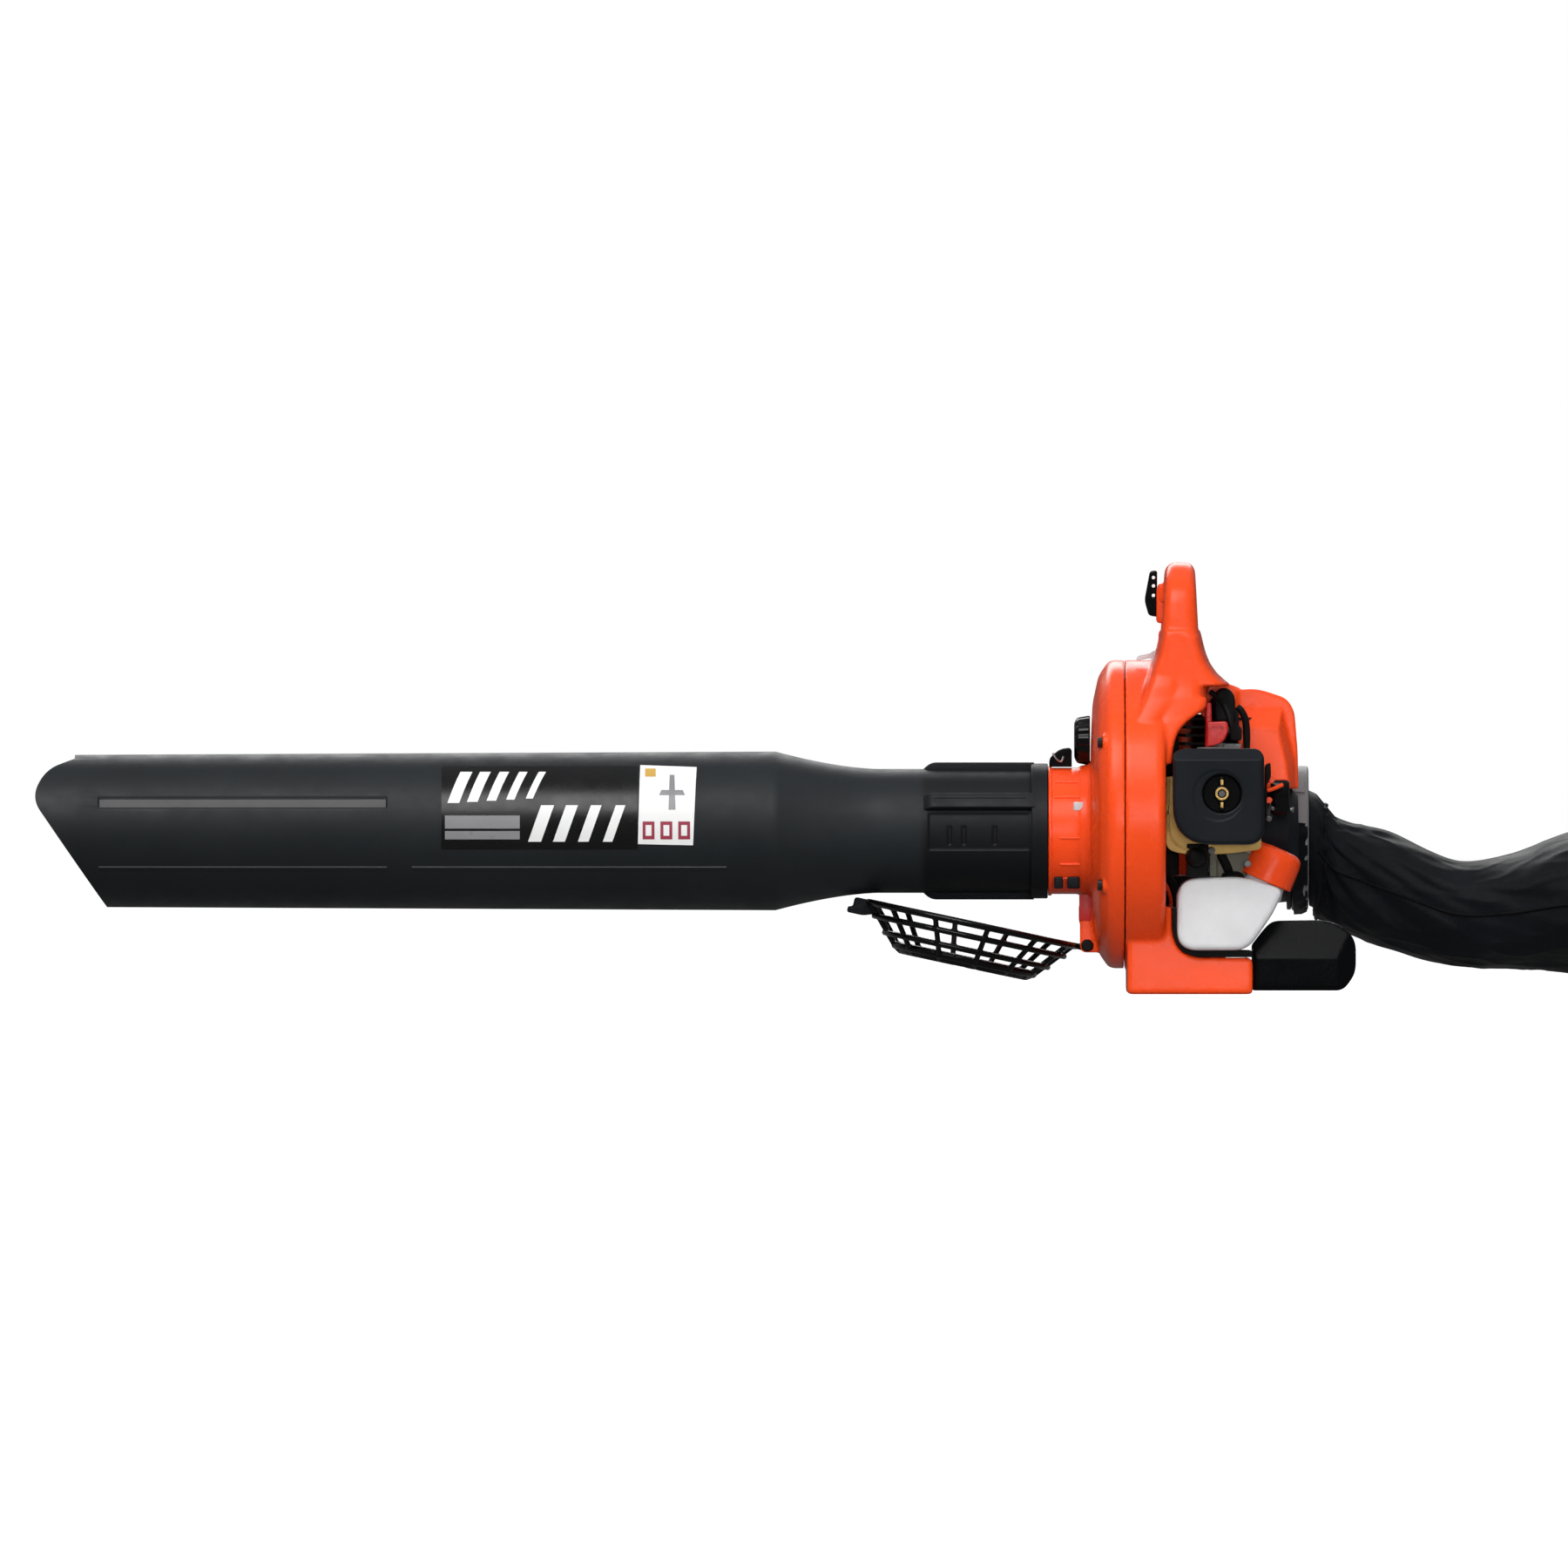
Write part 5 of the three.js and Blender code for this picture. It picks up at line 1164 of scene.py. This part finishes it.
def elbow():
    start, end = Vector((DUCT.x, 132, DUCT.z)), Vector((RING_HIGH.x - 3, OUTLET_Y, OUTLET_Z))
    first, second = Vector((DUCT.x, 192, DUCT.z)), Vector((-5, OUTLET_Y, OUTLET_Z))

    def skin(inset, steps, ribbed):
        rings = []
        for i in range(steps + 1):
            t = i / steps
            centre = ((1 - t) ** 3 * start + 3 * t * (1 - t) ** 2 * first + 3 * t * t * (1 - t) * second
                      + t ** 3 * end)
            along = (3 * (1 - t) ** 2 * (first - start) + 6 * t * (1 - t) * (second - first)
                     + 3 * t * t * (end - second)).normalized()
            radius = 40.5 + (RING_BORE - 42.5) * min(1, max(0, t - 0.12) / 0.75) - inset
            if ribbed and 0.2 < t < 0.84:
                radius += 1.5 * max(0, math.cos(t * 2 * math.pi * 14)) ** 3
            if inset and i in (0, steps):
                centre = centre + along * (3 if i else -3)
            up = (Vector((0, 0, 1)) - along * along.z).normalized()
            side = along.cross(up)
            rings.append([centre + side * radius * math.cos(a) + up * radius * math.sin(a)
                          for a in (2 * math.pi * k / 96 for k in range(96))])
        return loft(rings)

    mesh = combined([skin(0, 240, True)], [skin(2.6, 60, False)])
    piece("outlet_elbow_skin", mesh, ELBOW, "powerhead", ["outlet_elbow"], 50)
    centre = (0, OUTLET_Y, OUTLET_Z)
    # The ring and its tabs are coloured grey: a painted highlight standing for the lit top of a black ring.
    rim = ring_shape("x", RING_R, RING_BORE, RING_LOW.x + 0.6, RING_HIGH.x, centre, 160, 3.2)
    flange = ring_shape("x", RING_R - 1, RING_BORE, RING_LOW.x - 3.2, RING_LOW.x + 0.4, centre, 160, 1)
    piece("elbow_flange", flange, ELBOW, "powerhead")
    piece("bag_ring_highlight_band", rim, GREY, "powerhead", ["bag_ring"], 24)
    for i in range(4):
        angle = math.pi * (0.25 + i / 2)
        tab = block(RING_LOW.x + 3, RING_HIGH.x - 3, -7, 7, RING_R - 0.6, RING_R + 1.4, 0.8)
        turned(tab, Matrix.Translation(centre) @ Matrix.Rotation(angle, 4, "X"))
        piece(f"bag_ring_tab_{i + 1}", tab, GREY, "powerhead")


# The bag's cross-sections: place along it, lowest, highest, half width.
BAG = [(103.3, 71, 175, 54), (143, 54, 158, 56), (176, 42, 150, 60), (231, 28, 126, 70), (276, 25, 130, 92),
       (325, 21, 149, 126), (400, 6, 172, 164), (480, 0, 184, 186), (560, 0, 182, 192), (635, 0, 160, 184),
       (695, 0, 122, 168), (732, 4, 74, 156), (750, 18, 40, 148)]
BAG_RINGS, BAG_SIDES = 150, 144


def bag_section(share):
    """The section at a share of the bag's length, and how round it is."""
    spot = share * (len(BAG) - 1)
    i = min(int(spot), len(BAG) - 2)
    t = spot - i
    rows = [BAG[max(0, min(len(BAG) - 1, k))] for k in (i - 1, i, i + 1, i + 2)]
    values = [spline(a, b, c, d, t) for a, b, c, d in zip(*rows)]
    return values, 0.72 + 0.28 * max(0, 1 - spot / 3)


def fold(share, angle):
    """How far the cloth stands out in millimetres: gathers at the neck, slanting folds, and soft creases."""
    neck = math.exp(-((share - 0.02) / 0.10) ** 2)
    waist = math.exp(-((share - 0.27) / 0.16) ** 2)
    body = min(1, max(0, (share - 0.3) / 0.3))
    drift = noise.noise(Vector((share * 9, 2.2 * math.cos(angle), 2.2 * math.sin(angle))))
    gathers = neck * 1.5 * math.sin(11 * angle + 5 * drift)
    slant = waist * 5.0 * noise.noise(Vector((share * 7 + 1.3 * angle, 3.1 * math.sin(angle + 5 * share),
                                              4.0)))
    crease = 1 - abs(noise.noise(Vector((share * 13, 3.4 * math.cos(angle), 3.4 * math.sin(angle) + 9))))
    soft = 7 * noise.noise(Vector((share * 6, 1.7 * math.cos(angle) + 3, 1.7 * math.sin(angle))))
    return gathers + slant + (1.8 + 3.2 * body) * (crease ** 6 - 0.4) + body * soft


def bag_grid():
    points = []
    for r in range(BAG_RINGS + 1):
        share = r / BAG_RINGS
        (x, low, high, half), power = bag_section(share)
        edge = min(1, share * 14) * min(1, (1 - share) * 16)
        for k in range(BAG_SIDES):
            angle = 2 * math.pi * k / BAG_SIDES
            out = fold(share, angle) * edge
            bend = lambda v: math.copysign(abs(v) ** power, v)
            rise = max(0.5, (high - low) / 2 - 3 + min(0, out) + 0.4 * max(0, out))
            y = OUTLET_Y + (half - 3 + out) * bend(math.cos(angle))
            z = (low + high) / 2 + rise * bend(math.sin(angle))
            points.append((x, y, max(0.8, z)))
    faces = []
    for r in range(BAG_RINGS):
        for k in range(BAG_SIDES):
            a, b = r * BAG_SIDES + k, r * BAG_SIDES + (k + 1) % BAG_SIDES
            faces.append([a, b, b + BAG_SIDES, a + BAG_SIDES])
    last = BAG_RINGS * BAG_SIDES
    faces += [[last + k, last + k + 1, last + BAG_SIDES - 2 - k, last + BAG_SIDES - 1 - k]
              for k in range(BAG_SIDES // 2 - 1)]
    return points, faces


def draped(points, faces, frames=18, cap=11.0):
    """Lets the cloth settle under its own weight and a little air, moving no point further than the cap."""
    mesh = bpy.data.meshes.new("cloth")
    mesh.from_pydata([Vector(p) * MM for p in points], [], faces)
    obj = bpy.data.objects.new("cloth", mesh)
    bpy.context.scene.collection.objects.link(obj)
    held = obj.vertex_groups.new(name="held")
    total = len(points)
    held.add(list(range(4 * BAG_SIDES)) + list(range(total - 3 * BAG_SIDES, total)), 1.0, "REPLACE")
    ground = loose(block(-400, 1400, -600, 1000, -60, 0))
    ground.data.transform(Matrix.Scale(MM, 4))
    ground.modifiers.new("stop", "COLLISION")
    ground.collision.thickness_outer = 0.001
    step = obj.modifiers.new("settle", "CLOTH")
    cloth = step.settings
    cloth.quality, cloth.mass, cloth.air_damping = 6, 0.12, 1.5
    cloth.tension_stiffness, cloth.compression_stiffness, cloth.shear_stiffness = 12, 8, 4
    cloth.bending_stiffness, cloth.vertex_group_mass = 0.25, "held"
    cloth.use_pressure, cloth.uniform_pressure_force = True, 0.35
    cloth.shrink_min = -0.05
    step.collision_settings.distance_min = 0.001
    scene = bpy.context.scene
    for number in range(1, frames + 1):
        scene.frame_set(number)
    settled = settle(obj)
    scene.frame_set(1)
    bpy.data.objects.remove(ground)
    out = []
    for point, vertex in zip(points, settled.vertices):
        shift = vertex.co / MM - Vector(point)
        out.append(tuple(Vector(point) + shift * min(1, cap / max(shift.length, 1e-6))))
    return [(x, y, max(0.8, z)) for x, y, z in out]


def bag():
    points, faces = bag_grid()
    points = draped(points, faces)
    made = bmesh.new()
    corners = [made.verts.new(p) for p in points]
    for face in faces:
        made.faces.new([corners[i] for i in face])
    bmesh.ops.recalc_face_normals(made, faces=made.faces)
    work = loose(made)
    thick = work.modifiers.new("thickness", "SOLIDIFY")
    thick.thickness, thick.offset = 1.4, -1
    smooth = work.modifiers.new("round", "SUBSURF")
    smooth.levels = smooth.render_levels = 1
    piece("collection_bag_cloth", settle(work), CLOTH, "powerhead", ["collection_bag"], 70)
    spot = lambda r, k: Vector(points[r * BAG_SIDES + k % BAG_SIDES])
    for name, column in (("near", BAG_SIDES // 2), ("far", 0)):  # bound seams along both sides
        line = [spot(r, column) for r in range(3, BAG_RINGS - 1, 3)]
        piece(f"bag_seam_{name}", sweep(line, 2.0, 8, 3, flat=0.7), TAPE, "powerhead", [], 60)
    for name, r in (("hem", 6), ("shoulder", 66)):
        line = [spot(r, k) for k in range(BAG_SIDES)]
        piece(f"bag_{name}", sweep(line, 1.2 if r > 6 else 1.8, 8, closed=True, up=Vector((1, 0, 0))), TAPE,
              "powerhead", [], 60)


def shade_sheet_on_ring():
    """A dark cloth sheet drawn over the lower part of the ring and folded along its free edge: painted shade on
    the ring's lower half.
    """
    rows, columns, points = 24, 120, []
    start, sweep_angle = math.radians(168), math.radians(204)
    for layer in (0, 1.3):
        for i in range(rows + 1):
            for k in range(columns + 1):
                angle = start + sweep_angle * k / columns
                share = i / rows
                slant = 5 * abs(math.sin(angle)) ** 2
                x = RING_LOW.x - 2 + slant + share * (16 - slant)
                pucker = 0.9 * math.sin(26 * angle + 4 * share) * share + 1.3 * noise.noise(
                    Vector((share * 2, 5 * math.cos(angle), 5 * math.sin(angle))))
                reach = RING_R + 1.4 + layer + pucker - 6.0 * max(0, share - 0.55)
                points.append((x, OUTLET_Y + reach * math.cos(angle), OUTLET_Z + reach * math.sin(angle)))
    piece("bag_ring_painted_shade", shell(points, sheet_faces(rows, columns)), CLOTH, "powerhead", [], 60)


def zipper():
    low, high = box_mm("zipper_slider")
    x, z = (low.x + high.x) / 2 - 1, 29.0
    y0, y1 = OUTLET_Y - 128, high.y + 6
    for name, lift in (("upper", 5.4), ("lower", -5.4)):
        tape = block(x - 4.2, x - 2.4, y0 - 6, y1 + 6, z + lift - 4.5, z + lift + 4.5, 0.6)
        piece(f"zipper_tape_{name}", tape, TAPE, "powerhead")
    teeth = bmesh.new()
    for k in range(int((y1 - y0) / 3.2)):
        y = y0 + 3.2 * k
        tooth = block(x - 3.0, x - 0.8, y, y + 1.7, z - 2.6 + 0.8 * (k % 2), z + 1.8 + 0.8 * (k % 2), 0.35, 1)
        part = bpy.data.meshes.new("tooth")
        tooth.to_mesh(part)
        tooth.free()
        teeth.from_mesh(part)
        bpy.data.meshes.remove(part)
    piece("zipper_teeth", teeth, STEEL, "powerhead")
    top = (high.y + low.y) / 2
    body = prism("x", [(top + 2, 24.6), (top + 9, 25, 3), (top + 10, 29, 3), (top + 9, 33, 3),
                       (top + 2, 33.4)],
                 low.x, high.x, 1, 3)
    pull = combined([prism("x", [(top - 7, 22, 2), (top - 8, 28, 2), (top + 4, 27.4), (top + 4, 23)], 753.2,
                           754.8, 0.5)],
                    [rod("x", 1.3, 750, 758, (0, top - 4.5, 25), 20)])
    piece("zipper_slider_body", body, STEEL, "slider", ["zipper_slider"])
    piece("zipper_pull", pull, STEEL, "slider")


# ---------------------------------------------------------------- camera, floor and light

def camera():
    data = bpy.data.cameras.new("camera")
    data.lens, data.sensor_width = 1000, 36
    data.clip_start, data.clip_end = 0.5, 200
    width = 1.323  # how much of the object's plane the frame spans
    obj = bpy.data.objects.new("camera", data)
    bpy.context.scene.collection.objects.link(obj)
    obj.location = (-0.3418, -width * data.lens / data.sensor_width, 0.1771)
    obj.rotation_euler = (math.radians(90), 0, 0)
    bpy.context.scene.camera = obj


def floor():
    disc = lathe("z", [(-20, 60000), (0, 60000)], (0, 0, 0), 96)
    mesh = bpy.data.meshes.new("floor")
    disc.to_mesh(mesh)
    disc.free()
    mesh.transform(Matrix.Scale(MM, 4))
    made = material("floor", (0.5, 0.5, 0.5), 0.7, specular=0.1)
    made.node_tree.nodes["Principled BSDF"].inputs["Emission Color"].default_value = (1, 1, 1, 1)
    made.node_tree.nodes["Principled BSDF"].inputs["Emission Strength"].default_value = 0.88
    n = Nodes(made)
    n.color(n.mix(n.span(n.noise(1.5, 3), 0, 1, 0.3, 0.7), (0.5, 0.5, 0.5), (0.53, 0.53, 0.53)))
    n.roughness(n.span(n.noise(4, 3), 0.65, 0.8, 0.3, 0.7))
    mesh.materials.append(made)
    obj = bpy.data.objects.new("floor", mesh)
    bpy.context.scene.collection.objects.link(obj)
    obj.visible_glossy = obj.visible_diffuse = False


def softbox(name, at, target, width, height, power, mirrored, spread=180):
    data = bpy.data.lights.new(name, "AREA")
    data.spread = math.radians(spread)
    data.shape, data.size, data.size_y, data.energy = "RECTANGLE", width, height, power
    obj = bpy.data.objects.new(name, data)
    obj.location = at
    obj.rotation_euler = (Vector(target) - Vector(at)).to_track_quat("-Z", "Y").to_euler()
    bpy.context.scene.collection.objects.link(obj)
    obj.visible_glossy = mirrored


def sky():
    """White to the camera. To the object it is bright overhead and dark underfoot."""
    world = bpy.data.worlds.new("sky")
    bpy.context.scene.world = world
    world.use_nodes = True
    tree = world.node_tree
    tree.nodes.clear()
    add, link = tree.nodes.new, tree.links.new
    split = add("ShaderNodeSeparateXYZ")
    link(add("ShaderNodeTexCoord").outputs["Generated"], split.inputs[0])
    ramp = add("ShaderNodeValToRGB")
    ramp.color_ramp.elements[0].position, ramp.color_ramp.elements[0].color = 0.46, (0.42, 0.42, 0.42, 1)
    ramp.color_ramp.elements[1].position, ramp.color_ramp.elements[1].color = 0.95, (0.95, 0.96, 1.0, 1)
    for place, level in ((0.52, 0.3), (0.66, 0.5)):
        ramp.color_ramp.elements.new(place).color = (level, level, level, 1)
    spread = add("ShaderNodeMapRange")
    spread.inputs["From Min"].default_value = -1
    link(split.outputs["Z"], spread.inputs["Value"])
    link(spread.outputs["Result"], ramp.inputs["Fac"])
    lit, seen, blend = add("ShaderNodeBackground"), add("ShaderNodeBackground"), add("ShaderNodeMixShader")
    link(ramp.outputs["Color"], lit.inputs["Color"])
    lit.inputs["Strength"].default_value = 0.42
    seen.inputs["Color"].default_value = (1, 1, 1, 1)
    link(add("ShaderNodeLightPath").outputs["Is Camera Ray"], blend.inputs["Fac"])
    link(lit.outputs[0], blend.inputs[1])
    link(seen.outputs[0], blend.inputs[2])
    link(blend.outputs[0], add("ShaderNodeOutputWorld").inputs["Surface"])


def light():
    sky()
    bpy.context.scene.view_settings.view_transform = "Standard"
    middle = (-0.25, 0.0, 0.15)
    softbox("key", (-1.1, -2.3, 2.4), middle, 2.6, 1.6, 74, True)
    softbox("front", (0.5, -3.6, 0.9), (0, 0, 0.15), 1.6, 1.6, 34, False)
    softbox("top", (-0.2, 0.4, 2.8), middle, 3.0, 1.4, 24, False)
    softbox("fill", (0.15, -1.7, 0.14), (0.03, 0, 0.08), 0.7, 0.25, 1.15, False, 60)
    softbox("back", (-0.4, 2.8, 1.8), middle, 2.6, 1.2, 40, True)


camera()
suction_tube()
tube_lines()
labels()
fan_case_front()
fan_case_rear()
lower_handle()
engine_cover()
air_cleaner()
fuel_tank()
grille()
tube_lock()
engine_bits()
plug_boot()
starter()
controls()
elbow()
bag()
shade_sheet_on_ring()
zipper()
floor()
light()
